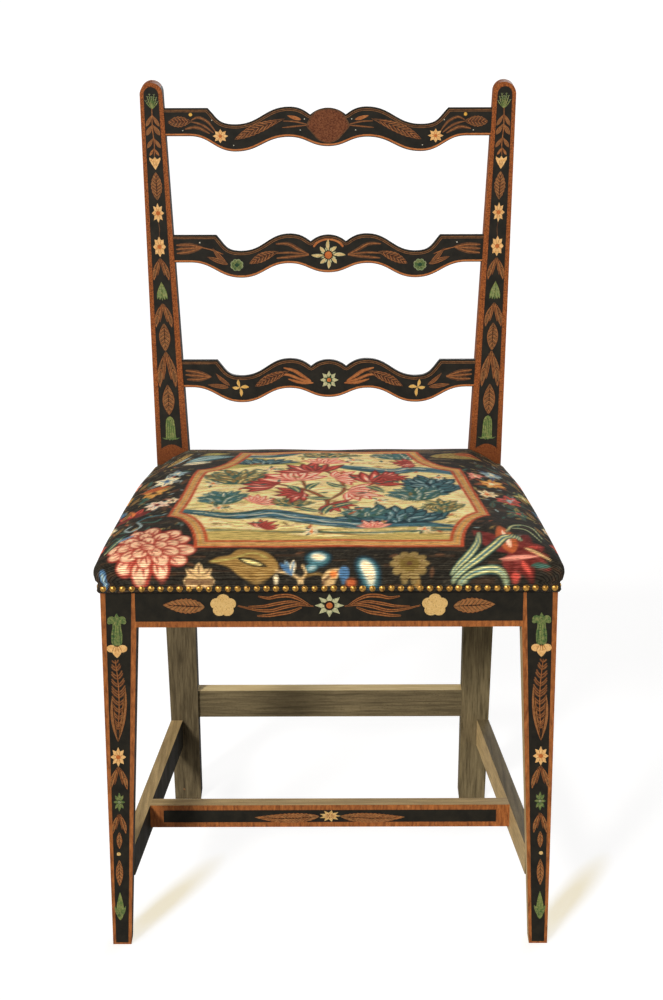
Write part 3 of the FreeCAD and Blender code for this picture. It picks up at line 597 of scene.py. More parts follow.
@dataclass
class Ornament:
    """Shapes painted on one face, each a thin raised film of paint."""

    face: WorkFace
    films: list = field(default_factory=list)
    film: float = 0.05
    base: float = 0.08
    step: float = 0.008
    leaves: Colour = Colour.LEAF

    def shape(self, outline: Sequence[Point], colour: Colour, tier: int = 1) -> None:
        """Adds a filled outline."""
        self.films.append((list(outline), None, self.leaves if colour is Colour.LEAF else colour, tier))

    def panel(self, half: float, low: float, high: float) -> None:
        """Adds a black panel that reaches half its width to each side, from low to high."""
        self.shape([(-half, low), (half, low), (half, high), (-half, high)], Colour.GROUND, 0)

    def stroke(self, points: Sequence[Point], width: float, colour: Colour, tier: int = 2, taper: float = 1.0) -> None:
        """Adds a brush stroke.

        Args:
            points: The stroke's middle line.
            width: Its full width.
            colour: Its paint.
            tier: Its place in the layers.
            taper: 1 narrows it to nothing at both ends, and 0 keeps its width.
        """
        left, right = [], []
        last = len(points) - 1
        for i, (x, y) in enumerate(points):
            ax, ay = points[max(i - 1, 0)]
            bx, by = points[min(i + 1, last)]
            length = math.hypot(bx - ax, by - ay) or 1.0
            half = width / 2 * (1 - taper + taper * math.sin(math.pi * (0.06 + 0.88 * i / last)))
            left.append((x - (by - ay) / length * half, y + (bx - ax) / length * half))
            right.append((x + (by - ay) / length * half, y - (bx - ax) / length * half))
        self.films.append((left, right, colour, tier))

    def leaf(self, x: float, y: float, angle: float, length: float, width: float, colour: Colour = Colour.LEAF,
            rim: Colour | None = Colour.RUST, bend: float = 0.0, teeth: int = 0, veins: int = 5,
            full: float = 0.42) -> None:
        """Paints a pointed leaf from its stalk at (x, y), with a rim, a midrib and veins.

        Args:
            x, y: The stalk's end.
            angle: The leaf's direction in degrees.
            length, width: Its size.
            colour: Its body colour.
            rim: The colour of its edge, or None.
            bend: How far its middle bows sideways.
            teeth: Notches along each edge.
            veins: Side veins on each half.
            full: Where along its length it is widest.
        """
        def half(t: float) -> float:
            """Half the leaf's width at a share of its length.

            Args:
                t: The share of its length.

            Returns:
                Half the width.
            """
            s = t ** (math.log(0.5) / math.log(full))
            edge = math.sin(math.pi * s) ** 0.85 * width / 2
            return edge * (1 - 0.2 * ((t * teeth) % 1.0)) if teeth else edge

        def body(scale: float) -> list[Point]:
            """The leaf's outline at a share of its width.

            Args:
                scale: The share of its full width.

            Returns:
                The outline's points.
            """
            count = max(14, teeth * 3)
            stations = [i / count for i in range(count + 1)]
            top = [(length * t, bow(t) + half(t) * scale) for t in stations]
            under = [(length * t, bow(t) - half(t) * scale) for t in reversed(stations[1:-1])]
            return turned(top + under, x, y, angle)

        def bow(t: float) -> float:
            """How far the midrib bows at a share of its length."""
            return bend * 4 * t * (1 - t)

        self.shape(body(1.0), rim or colour, 1)
        if rim and width > 3:
            self.shape(body(1 - 1.7 / width), colour, 2)
        rib = [(length * t / 10, bow(t / 10)) for t in range(0, 10)]
        self.stroke(turned(rib, x, y, angle), max(0.6, width * 0.08), Colour.VEIN if veins else rim or colour, 3)
        for i in range(veins):
            t = 0.12 + 0.68 * i / max(veins - 1, 1)
            for s in (-1, 1):
                for late, paint in ((0.0, Colour.VEIN), (0.045, Colour.LINE)):
                    start, stop = t + late, min(t + late + 0.12, 0.95)
                    reach = half(stop) * 0.82
                    ends = [(length * start, bow(start)), (length * stop, bow(stop) + s * reach)]
                    self.stroke(turned(ends, x, y, angle), 0.6, paint, 3, 0.3)

    def star(self, x: float, y: float, long: float, tall: float, points: int = 8, waist: float = 0.62,
            colour: Colour = Colour.CREAM, eye: Colour | None = Colour.ORANGE, rays: bool = True,
            eye_size: float = 0.22) -> None:
        """Paints a star flower with a ray in each petal and a round eye.

        Args:
            x, y: Its place.
            long: Half its width.
            tall: Half its height.
            points: Its number of petals.
            waist: How deep it is cut between petals.
            colour: Its paint.
            eye: The eye's colour, or None.
            rays: Whether the petals have rays.
            eye_size: The eye's share of the flower.
        """
        outline = []
        for i in range(points * 2):
            turn = math.pi * i / points
            reach = 1.0 if i % 2 == 0 else waist
            outline.append((x + long * reach * math.cos(turn), y + tall * reach * math.sin(turn)))
        self.shape(outline, colour, 1)
        if rays:
            for i in range(points):
                turn = math.pi * (2 * i + 1) / points
                inner, outer = 0.2, waist * 0.96
                line = [(x + long * r * math.cos(turn), y + tall * r * math.sin(turn)) for r in (inner, outer)]
                self.stroke(line, 0.6, Colour.DEEP if colour in (Colour.GREEN, Colour.PALE) else Colour.RUST, 2, 0.3)
        if eye:
            self.dot(x, y, max(long, tall) * eye_size, eye, 3)

    def dot(self, x: float, y: float, radius: float, colour: Colour, tier: int = 1, lobes: int = 0,
            tall: float = 1.0) -> None:
        """Paints a round or lobed spot.

        Args:
            x, y: Its place.
            radius: Its radius.
            colour: Its paint.
            tier: Its place in the layers.
            lobes: Its number of lobes.
            tall: Its height as a share of its width.
        """
        count = max(16, lobes * 8)
        ring = []
        for i in range(count):
            turn = 2 * math.pi * i / count
            reach = radius * (0.8 + 0.2 * abs(math.cos((turn - math.pi / 2) * lobes / 2)) ** 0.8 if lobes else 1)
            ring.append((x + reach * math.cos(turn), y + reach * tall * math.sin(turn)))
        self.shape(ring, colour, tier)

    def petals(self, x: float, y: float, count: int, inner: float, outer: float, width: float, colour: Colour,
               core: Colour | None = None, squash: float = 1.0, first: float = 0.0) -> None:
        """Paints a ring of separate pointed petals.

        Args:
            x, y: Its place.
            count: How many.
            inner: Where they start.
            outer: Where they end.
            width: Its width.
            colour: Its paint.
            core: The colour of their middle lines, or None.
            squash: The ring's height as a share of its width.
            first: The first petal's angle.
        """
        for i in range(count):
            turn = first + 360 * i / count
            c, s = math.cos(math.radians(turn)), math.sin(math.radians(turn)) * squash
            reach = math.hypot(c, s)
            angle = math.degrees(math.atan2(s, c))
            self.leaf(x + inner * c, y + inner * s, angle, (outer - inner) * reach, width, colour, None, 0, 0, 0, 0.4)
            if core:
                line = [(x + r * c, y + r * s) for r in (inner + 0.5, inner + (outer - inner) * 0.6)]
                self.stroke(line, width * 0.34, core, 4, 0.6)

    def bell(self, x: float, y: float, length: float, width: float) -> None:
        """Paints a fluted bellflower that hangs from (x, y), with a thin flared lip.

        Args:
            x, y: Its place.
            length: Its length.
            width: Its width.
        """
        def both_halves(right: Sequence[Point]) -> list[Point]:
            """Closes a right half with its mirror image."""
            places = [(a * width, -b * length) for a, b in right]
            return turned(places + [(-a, b) for a, b in reversed(places[1:-1])], x, y, 0)

        self.shape(both_halves([(0, 0), (0.24, 0.05), (0.4, 0.16), (0.47, 0.4), (0.5, 0.8), (0.54, 0.96), (0, 0.97)]),
                Colour.LIME, 1)
        for place in (-0.3, -0.1, 0.1, 0.3):
            line = [(x + width * place * 0.8, y - length * 0.14), (x + width * place * 1.15, y - length * 0.9)]
            self.stroke(line, 0.8, Colour.DEEP, 2, 0.4)
        lip = [(0, 0.95), (0.5, 0.95), (0.96, 0.92), (0.62, 1.0), (0.3, 1.0), (0.12, 1.04), (0, 1.0)]
        self.shape(both_halves(lip), Colour.GREEN, 3)

    def tassel(self, x: float, y: float, length: float, spread: float) -> None:
        """Paints a hanging tuft of narrow green leaves.

        Args:
            x, y: Its place.
            length: Its length.
            spread: How far it spreads.
        """
        for lean in (-1.0, 1.0, -0.5, 0.5, 0.0):
            tip_x, tip_y = x + spread * lean, y - length * (1 - 0.06 * abs(lean))
            angle = math.degrees(math.atan2(tip_y - y, tip_x - x))
            self.leaf(x, y, angle, math.hypot(tip_x - x, tip_y - y), 4.0, Colour.LIME if lean else Colour.GREEN, None,
                    veins=0, full=0.6)
            self.stroke([(x + (tip_x - x) * t, y + (tip_y - y) * t) for t in (0.3, 0.9)], 0.7,
                    Colour.PALE if lean else Colour.DEEP, 4, 0.5)

    def blade(self, points: Sequence[Point], width: float, colour: Colour = Colour.LEAF,
            line: Colour | None = Colour.RUST) -> None:
        """Paints a narrow curving leaf through a few points, with a thin line down its middle.

        Args:
            points: The points that it runs through.
            width: Its width.
            colour: Its paint.
            line: The colour of its middle line, or None.
        """
        path = smooth_line(points, 6)
        self.stroke(path, width, colour, 1, 0.85)
        if line:
            self.stroke(path, max(0.7, width * 0.24), line, 2, 0.6)

    def feather(self, points: Sequence[Point], width: float, barbs: int) -> None:
        """Paints a feathery leaf: a rib with slanting barbs and dark gaps between them.

        Args:
            points: The points that it runs through.
            width: Its width.
            barbs: Barbs on each side.
        """
        rib = smooth_line(points, 10)
        self.stroke(rib, 1.2, Colour.RUST, 2, 0.5)
        for i in range(barbs):
            t = (i + 0.4) / barbs
            k = int(t * (len(rib) - 2))
            (x, y), (ahead_x, ahead_y) = rib[k], rib[k + 1]
            step = math.hypot(ahead_x - x, ahead_y - y) or 1.0
            fx, fy = (ahead_x - x) / step, (ahead_y - y) / step
            reach = width / 2 * math.sin(math.pi * (0.08 + 0.86 * t)) ** 0.6
            for side in (-1, 1):
                def place(out: float, on: float) -> Point:
                    """A place beside the rib."""
                    return x + reach * (on * fx - side * out * fy), y + reach * (on * fy + side * out * fx)

                self.stroke(smooth_line([(x, y), place(0.6, 0.45), place(1.0, 1.15)], 3), 2.5, Colour.LEAF, 1, 0.4)
                self.stroke(smooth_line([place(0.1, 0.1), place(0.6, 0.5), place(0.98, 1.1)], 3), 0.7,
                        Colour.RUST, 2, 0.4)

    def sprig(self, x: float, y: float, height: float, spread: float) -> None:
        """Paints a spiky green plant growing up from (x, y).

        Args:
            x, y: Its place.
            height: Its height.
            spread: How far it spreads.
        """
        for angle, reach in ((-62, 0.5), (-44, 0.78), (-24, 0.98), (-4, 0.84), (14, 1.0), (34, 0.84), (56, 0.56)):
            tip = (x + math.sin(math.radians(angle)) * spread, y + height * reach)
            bend = (x + math.sin(math.radians(angle)) * spread * 0.6, y + height * reach * 0.5)
            self.stroke(smooth_line([(x, y), bend, tip], 4), 1.0, Colour.LIME, 1, 0.7)
            for share in (0.5, 0.72, 0.9):
                barb = (x + (tip[0] - x) * share, y + (tip[1] - y) * share)
                for side in (-1, 1):
                    self.stroke([barb, (barb[0] + side * 1.4, barb[1] + 1.3)], 0.6,
                            Colour.PALE if share > 0.7 else Colour.GREEN, 2, 0.5)

    def leaf_pair(self, x: float, y: float, length: float, spread: float, width: float) -> None:
        """Paints two leaves that hang from one point, with a narrow pair between them.

        Args:
            x, y: Its place.
            length: Its length.
            spread: How far it spreads.
            width: Its width.
        """
        for s in (-1, 1):
            angle = -90 + s * math.degrees(math.atan2(spread, length))
            self.leaf(x + s * 0.4, y, angle, math.hypot(length, spread), width, bend=s * width * 0.3, veins=3, full=0.6)
            self.blade([(x, y - 1), (x + s * spread * 0.22, y - length * 0.35),
                    (x + s * spread * 0.5, y - length * 0.78)], width * 0.42, Colour.RUST, Colour.VEIN)

    def make(self, name: str) -> bpy.types.Object:
        """Turns the films of paint into one mesh of closed thin shapes.

        Args:
            name: The piece's name.

        Returns:
            The finished piece.
        """
        bm = bmesh.new()
        used: list[Colour] = []
        for index, (first, second, colour, tier) in enumerate(self.films):
            if colour not in used:
                used.append(colour)
            lift = self.base + self.film * tier + self.step * (index % 5)
            if second is None:
                loops = [[self.face.at(u, v, lift) for u, v in first]]
            else:
                left = [self.face.at(u, v, lift) for u, v in first]
                right = [self.face.at(u, v, lift) for u, v in second]
                loops = [[left[i], right[i], right[i + 1], left[i + 1]] for i in range(len(left) - 1)]
            rows: dict = {}
            for loop in loops:
                verts = []
                for place in loop:
                    key = tuple(round(c * 1e7) for c in place)
                    if key not in rows:
                        rows[key] = bm.verts.new(place)
                    if rows[key] not in verts:
                        verts.append(rows[key])
                if len(verts) > 2 and bm.faces.get(verts) is None:
                    face = bm.faces.new(verts)
                    face.material_index = used.index(colour)
                    face.normal_update()
                    if face.normal.dot(self.face.out) < 0:
                        face.normal_flip()
        piece = mesh_object(name, bm)
        for colour in used:
            piece.data.materials.append(PAINTS[colour])
        finish_with(piece, "SOLIDIFY", thickness=self.film * MM, offset=-1.0, use_even_offset=False)
        return settle(piece, "painted_wood")


PAINTS = {colour: colour.value.make() for colour in Colour}
RAKE = math.atan2(99.0, 496.0)
UP_BACK = Vector((0, math.sin(RAKE), math.cos(RAKE)))
OUT_BACK = Vector((0, -math.cos(RAKE), math.sin(RAKE)))
KNEE = Vector((0, 134.0, KNEE_HEIGHT))
FRONT_UP, FRONT_OUT = Vector((0, 0, 1)), Vector((0, -1, 0))


def front_outline(node: str, origin: Vector, along: Vector, out: Vector) -> list[Point]:
    """Reads the outline of a solid's front face as places on that face.

    Args:
        node: The solid's name.
        origin: The face's origin, in millimetres.
        along: Its own upward direction.
        out: The direction that it looks in.

    Returns:
        The outline's corners in order, as (across, along) in millimetres.
    """
    bm = merged(node)
    faces = {f for f in bm.faces if f.normal.dot(out) > 0.9995}
    edges = [e for e in bm.edges if sum(f in faces for f in e.link_faces) == 1]
    after: dict = {}
    for e in edges:
        for a, b in ((e.verts[0], e.verts[1]), (e.verts[1], e.verts[0])):
            after.setdefault(a, []).append(b)
    start = max(after, key=lambda v: v.co.z)
    loop, last = [start], None
    while True:
        here = loop[-1]
        step = next((v for v in after[here] if v is not last and (v is start or v not in loop)), None)
        if step is None or step is start:
            break
        last = here
        loop.append(step)
    places = [(v.co.x / MM, (v.co / MM - origin).dot(along)) for v in loop]
    bm.free()
    return places


def resampled(loop: Sequence[Point], pitch: float) -> np.ndarray:
    """Points at an even pitch round a closed outline, keeping its corners.

    Args:
        loop: The outline.
        pitch: The spacing.

    Returns:
        The points in order.
    """
    closed = np.array([*loop, loop[0]])
    rows = []
    for a, b in zip(closed, closed[1:]):
        count = max(1, round(float(np.hypot(*(b - a))) / pitch))
        rows += [a + (b - a) * i / count for i in range(count)]
    return np.array(rows)


def inset_line(loop: Sequence[Point], depth: float, pitch: float = 1.0) -> np.ndarray:
    """A line inside an outline at an even depth from it.

    Args:
        loop: The outline, in order.
        depth: How far inside the line runs.
        pitch: The spacing of its points.

    Returns:
        The line's points in order, with crossings left out.
    """
    ring = resampled(loop, pitch)
    area = np.sum(ring[:, 0] * np.roll(ring[:, 1], -1) - np.roll(ring[:, 0], -1) * ring[:, 1])
    step = np.roll(ring, -1, 0) - np.roll(ring, 1, 0)
    normal = np.stack([-step[:, 1], step[:, 0]], 1) * (1 if area > 0 else -1)
    moved = ring + normal / np.linalg.norm(normal, axis=1, keepdims=True) * depth
    gap = np.sqrt(((moved[:, None, :] - ring[None, :, :]) ** 2).sum(2)).min(1)
    return moved[gap > depth * 0.96 - 0.05]


def runs(points: np.ndarray, keep: np.ndarray, jump: float) -> list[list[Point]]:
    """Splits the kept points of a closed line into unbroken runs.

    Args:
        points: The line's points.
        keep: Which of them to keep.
        jump: The gap that ends a run.

    Returns:
        The runs.
    """
    kept = points[keep]
    if len(kept) < 2:
        return []
    gaps = np.hypot(*(np.roll(kept, -1, 0) - kept).T)
    breaks = np.flatnonzero(gaps > jump)
    if not len(breaks):
        return [[tuple(p) for p in (*kept, kept[0])]]
    kept = np.roll(kept, -(breaks[0] + 1), 0)
    gaps = np.hypot(*(kept[1:] - kept[:-1]).T)
    return [[tuple(p) for p in part] for part in np.split(kept, np.flatnonzero(gaps > jump) + 1) if len(part) > 2]


@dataclass
class LadderRail:
    """One serpentine ladder rail: black ground with an inlaid line along its edges."""

    node: str
    top_inset: float = 3.8
    bottom_inset: float = 1.8
    line_width: float = 2.0
    top_width: float = 2.8
    setback: float = 1.0

    def face(self) -> WorkFace:
        """The rail's front face, whose across is measured from the middle."""
        return WorkFace(KNEE - OUT_BACK * self.setback, UP_BACK, OUT_BACK)

    def outline(self) -> list[Point]:
        """The outline of the rail's front face."""
        face = self.face()
        return front_outline(self.node, face.origin, UP_BACK, OUT_BACK)

    def edge_lines(self) -> tuple[list[list[Point]], list[list[Point]]]:
        """The middle lines of the inlay: those along the top, and those along the bottom.

        Returns:
            The lines at the top, and the lines at the bottom.
        """
        loop = self.outline()
        ring = np.array(loop)
        end = np.abs(ring[:, 0]).max()
        found: list[list[list[Point]]] = []
        for depth, sign in ((self.top_inset, 1), (self.bottom_inset, -1)):
            lines = []
            moved = inset_line(loop, depth)
            dense = resampled(loop, 1.0)
            nearest = dense[((moved[:, None, :] - dense[None, :, :]) ** 2).sum(2).argmin(1)]
            lean = nearest - moved
            keep = (lean[:, 1] * sign > 0.02 * depth) & (np.abs(moved[:, 0]) < end - 0.3)
            ends = (np.abs(moved[:, 0]) > end - depth - 3) & (np.abs(lean[:, 0]) > np.abs(lean[:, 1]) * 0.6)
            for run in runs(moved, keep & ~ends, 4.0):
                for i in (0, -1):
                    if abs(run[i][0]) > end - 12:
                        stop = (math.copysign(end - 0.4, run[i][0]), run[i][1])
                        run.insert(0, stop) if i == 0 else run.append(stop)
                lines.append(run)
            found.append(lines)
        return found[0], found[1]

    def dress(self, motifs: Callable[[Ornament], None]) -> None:
        """Paints the inlay and the rail's own motifs.

        Args:
            motifs: Paints the rail's motifs.
        """
        ornament = Ornament(self.face())
        top, bottom = self.edge_lines()
        for line in top:
            ornament.stroke(line, self.top_width, Colour.BROWN, 1, 0.0)
            ornament.stroke(line, self.top_width * 0.4, Colour.VEIN, 2, 0.0)
        for line in bottom:
            ornament.stroke(line, self.line_width, Colour.LINE, 1, 0.0)
        motifs(ornament)
        ornament.make(self.node + "_ornament")


def leaf_between(o: Ornament, side: float, start: Point, end: Point, width: float, **kind: object) -> None:
    """Paints a leaf from its stalk to its tip, mirrored by side.

    Args:
        o: The ornament to paint on.
        side: -1 for the left and 1 for the right.
        start: The stalk's end.
        end: The tip.
        width: Its width.
        kind: The leaf's other settings.
    """
    x0, y0 = side * start[0], start[1]
    x1, y1 = side * end[0], end[1]
    kind["bend"] = side * -1 * kind.get("bend", 0.0)
    o.leaf(x0, y0, math.degrees(math.atan2(y1 - y0, x1 - x0)), math.hypot(x1 - x0, y1 - y0), width, **kind)


class BackPainter:
    """The motifs of the three ladder rails and the two posts."""

    panel_low = 41.0
    panel_top = 500.6

    def blades(self, o: Ornament, side: float, root: Point, tips: Sequence[Point], width: float,
            bow: float = 2.0) -> None:
        """Paints narrow leaves that fan out from one root.

        Args:
            o: The ornament to paint on.
            side: -1 for the left and 1 for the right.
            root: Where they start.
            tips: Where they end.
            width: Its width.
            bow: How far the outer ones bow.
        """
        for i, tip in enumerate(tips):
            middle = ((root[0] + tip[0]) / 2, (root[1] + tip[1]) / 2 + bow * (1 - 2 * i / max(len(tips) - 1, 1)))
            o.blade([(side * x, y) for x, y in (root, middle, tip)], width)

    def crest(self, o: Ornament) -> None:
        """Paints the crest rail.

        Args:
            o: The ornament to paint on.
        """
        for s in SIDES:
            leaf_between(o, s, (172, 457.5), (203, 456.5), 14, teeth=7, veins=6, full=0.55)
            o.dot(s * 174.1, 466.0, 2.2, Colour.GOLD, 1)
            for points, width in (([(173, 459), (164, 462.5), (152, 456.5), (143, 445.5)], 3.8),
                    ([(173, 457), (159, 453), (145, 443)], 3.2), ([(181, 448), (166, 450), (149.9, 442.2)], 4.4),
                    ([(26.6, 452.5), (42, 451), (58, 449.5)], 2.6), ([(26.6, 453.5), (42, 457), (57, 457.7)], 2.4)):
                o.blade([(s * x, y) for x, y in points], width)
            o.star(s * 136.4, 439.1, 9.9, 8.8, colour=Colour.APRICOT)
            leaf_between(o, s, (53.5, 461), (118.7, 434.6), 13, teeth=11, veins=9, bend=-2.0, full=0.58)
            leaf_between(o, s, (34.1, 459.3), (51.8, 464.6), 4.4, colour=Colour.RUST, rim=Colour.LINE, veins=0)
            for x, y in ((29.9, 460.2), (35, 446.4), (119.6, 427.5), (147.2, 459), (184, 446)):
                o.dot(s * x, y, 0.6, Colour.WHITE, 1)
        right = [(0, 473.5), (12, 471.5), (19, 467), (23.1, 461.5), (27.4, 451.8), (22.5, 445), (18.2, 440.1),
                (13, 434.5), (8, 431.8), (0, 429.5)]
        loop = smooth_line(right, 4)
        boss = loop + [(-x, y) for x, y in reversed(loop[1:-1])]
        o.shape(boss, Colour.LEAF, 3)
        o.shape([(x * 0.93, 451 + (y - 451) * 0.93) for x, y in boss], Colour.BOSS, 4)

    def middle(self, o: Ornament) -> None:
        """Paints the middle ladder rail.

        Args:
            o: The ornament to paint on.
        """
        for s in SIDES:
            self.blades(o, s, (160.4, 298.9), ((193.8, 301.8), (193.9, 296.6), (193.2, 291.4)), 5.4, 1.6)
            o.blade([(s * x, y) for x, y in ((162, 298.9), (148, 295.5), (134, 290.1))], 1.4, Colour.RUST, None)
            leaf_between(o, s, (130.3, 279), (148, 298), 5.2, veins=0, bend=1)
            leaf_between(o, s, (127.9, 277.4), (155, 287), 5.6, veins=0)
            self.round_flower(o, s * 116.8, 276.5, 8.6, 7.6)
            leaf_between(o, s, (63, 293.5), (101, 278), 12, teeth=8, veins=7, bend=-1.5, full=0.55)
            for points, width in (([(25, 289.8), (38, 296), (51, 303), (67, 303)], 5.2),
                                  ([(25, 289.4), (48, 292), (70, 291)], 3.2), ([(25, 289), (45, 287), (66, 285)], 4.4)):
                o.blade([(s * x, y) for x, y in points], width)
            o.dot(s * 164, 305, 0.8, Colour.WHITE, 1)
        o.stroke(smooth_line([(-19, 299.5), (-12, 306), (0, 309.3), (12, 306), (19, 299.5)], 5), 2.8,
                Colour.LINE, 1, 0.15)
        o.dot(0, 288.9, 6.2, Colour.VEIN, 1)
        for i, reach in enumerate((22, 15, 20, 15, 22, 15, 17.2, 15)):
            turn = math.radians(45 * i)
            o.leaf(5.6 * math.cos(turn), 288.9 + 5.6 * math.sin(turn), 45 * i, reach - 5.6, 4.6, Colour.STRAW,
                    Colour.SAGE, 0.9, veins=0, full=0.5)
            turn += math.radians(22.5)
            o.leaf(5.0 * math.cos(turn), 288.9 + 5.0 * math.sin(turn), 45 * i + 22.5, 5.4, 2.0,
                    Colour.SAGE, None, veins=0)
        o.dot(0, 288.9, 4.6, Colour.ORANGE, 3)

    def round_flower(self, o: Ornament, x: float, y: float, wide: float, tall: float) -> None:
        """Paints a green flower of eight rounded petals with pale edges.

        Args:
            o: The ornament to paint on.
            x, y: Its place.
            wide: Half its width.
            tall: Half its height.
        """
        o.dot(x, y, wide * 0.62, Colour.DEEP, 1, 0, tall / wide)
        for i in range(8):
            turn = math.radians(45 * i + 22.5)
            px, py = x + wide * 0.66 * math.cos(turn), y + tall * 0.66 * math.sin(turn)
            o.dot(px, py, wide * 0.33, Colour.PALE, 2)
            o.dot(x + wide * 0.6 * math.cos(turn), y + tall * 0.6 * math.sin(turn), wide * 0.27, Colour.GREEN, 3)
            o.stroke([(x, y), (px, py)], 0.8, Colour.DEEP, 4, 0.4)

    def lower(self, o: Ornament) -> None:
        """Paints the lower ladder rail.

        Args:
            o: The ornament to paint on.
        """
        for s in SIDES:
            self.blades(o, s, (150.9, 133.6), ((183.7, 141.7), (183.7, 136.4), (182.2, 130.5)), 5.4, 1.6)
            leaf_between(o, s, (126.9, 122.5), (145, 138), 4.4, veins=0, bend=1)
            leaf_between(o, s, (128.5, 119.9), (156, 123.4), 5.4, veins=0)
            for end, width in (((102.4, 120.1), 4.4), ((124, 119.9), 4.0), ((116.5, 130), 4.0), ((112.5, 108), 4.0)):
                leaf_between(o, s, (114, 119.8), end, width, colour=Colour.GOLD, rim=Colour.STRAW, veins=0,
                        full=0.55, bend=0.8)
            leaf_between(o, s, (49.7, 141), (95, 121), 12, teeth=9, veins=8, bend=-1.5, full=0.55)
            for points, width in (([(23, 128), (33, 134), (44, 141), (58, 145)], 4.6),
                    ([(22, 126.5), (36, 130), (52, 136), (66, 136)], 3.6),
                    ([(20, 125.5), (36, 126), (52, 130.5)], 3.8)):
                o.blade([(s * x, y) for x, y in points], width, Colour.RUST, Colour.LINE)
        o.star(0.4, 129.2, 12, 12, waist=0.6, colour=Colour.SAGE, eye=None)
        o.petals(0.4, 129.2, 8, 2.4, 7.4, 2.4, Colour.DEEP, None, 1.0, 22.5)
        o.dot(0.4, 129.2, 4.4, Colour.DEEP, 3)
        o.dot(0.4, 129.2, 2.7, Colour.ORANGE, 4)

    def post(self, side: float) -> None:
        """Paints one back post: a black panel inside the banding, and its string of motifs.

        Args:
            side: -1 for the left and 1 for the right.
        """
        name = "left" if side < 0 else "right"
        o = Ornament(WorkFace(KNEE, UP_BACK, OUT_BACK, POST_AXIS, POST_LEAN, side), leaves=Colour.BROWN)

        def half(s: float) -> float:
            """Half the post's width at a height."""
            return (42 - 13.5 * s / 505.8) / 2

        def outer(s: float) -> float:
            """The panel's outer edge at a height."""
            return half(s) - 6.4 + 1.6 * s / 500

        def inner(s: float) -> float:
            """The panel's inner edge at a height."""
            return -half(s) + 7.8 - 2.6 * s / 500

        low, top = self.panel_low, self.panel_top
        head = (outer(top) - inner(top)) / 2
        panel = [(outer(s), s) for s in np.linspace(low, top - head, 12)]
        middle = (outer(top - head) + inner(top - head)) / 2
        turns = np.radians(np.linspace(0, 180, 15))
        panel += [(middle + head * math.cos(t), top - head + head * math.sin(t)) for t in turns[1:-1]]
        panel += [(inner(s), s) for s in np.linspace(top - head, low, 12)]
        foot = [(inner(45) + (outer(45) - inner(45)) * i / 8, low + 5.5 * math.sin(math.pi * i / 8))
                for i in range(1, 8)]
        o.shape(panel + foot, Colour.GROUND, 0)
        o.sprig(0, 473, 19.5, 9.5)
        o.stroke(smooth_line([(0, 474), (0.8, 450), (-0.4, 430), (0.4, 414)], 6), 1.1, Colour.RUST, 2, 0.2)
        for root, tip, width in ((466, 451, 4.5), (454, 440, 5.5), (437, 424, 4.5), (424, 414.5, 3.0)):
            for s in (-1, 1):
                reach = 8.6 if width > 4 else 6.0
                o.leaf(0.3, root, math.degrees(math.atan2(tip - root, s * reach)), math.hypot(reach, tip - root), width,
                        Colour.LEAF, veins=0, full=0.6)
        heart = [(0, -9), (3.8, -3), (7.0, 3.6), (6.8, 6.8), (4.4, 5.0), (2.4, 4.2), (0, 7.4)]
        o.shape(turned(heart + [(-x, y) for x, y in reversed(heart[1:-1])], 0, 406, 0), Colour.APRICOT, 3)
        for x in (-2.6, 0, 2.6):
            o.stroke([(x, 408), (x * 0.5, 402)], 0.7, Colour.RUST, 4, 0.4)
        o.leaf(0, 358.3, 90, 36, 14.5, teeth=7, veins=7, full=0.5)
        o.star(0.2, 342.5, 7.8, 12.6, colour=Colour.APRICOT)
        o.stroke(smooth_line([(0.4, 331), (-0.6, 322), (0.6, 312)], 4), 0.9, Colour.LEAF, 1, 0.2)
        o.star(0.8, 299.8, 8.2, 13, colour=Colour.APRICOT, waist=0.7)
        o.leaf_pair(0.8, 286, 29, 9.2, 5.6)
        o.tassel(1.2, 255.5, 24, 6.4)
        o.leaf_pair(1.2, 228.5, 31.5, 9.6, 6.2)
        o.leaf(1.2, 202.5, -90, 36, 14, veins=6, full=0.5)
        o.leaf_pair(0.8, 167, 47, 9.8, 7.4)
        o.leaf(1.2, 124, -90, 39.5, 15, veins=6, full=0.52)
        o.bell(0.8, 83, 30, 12.4)
        o.make("back_post_" + name + "_ornament")


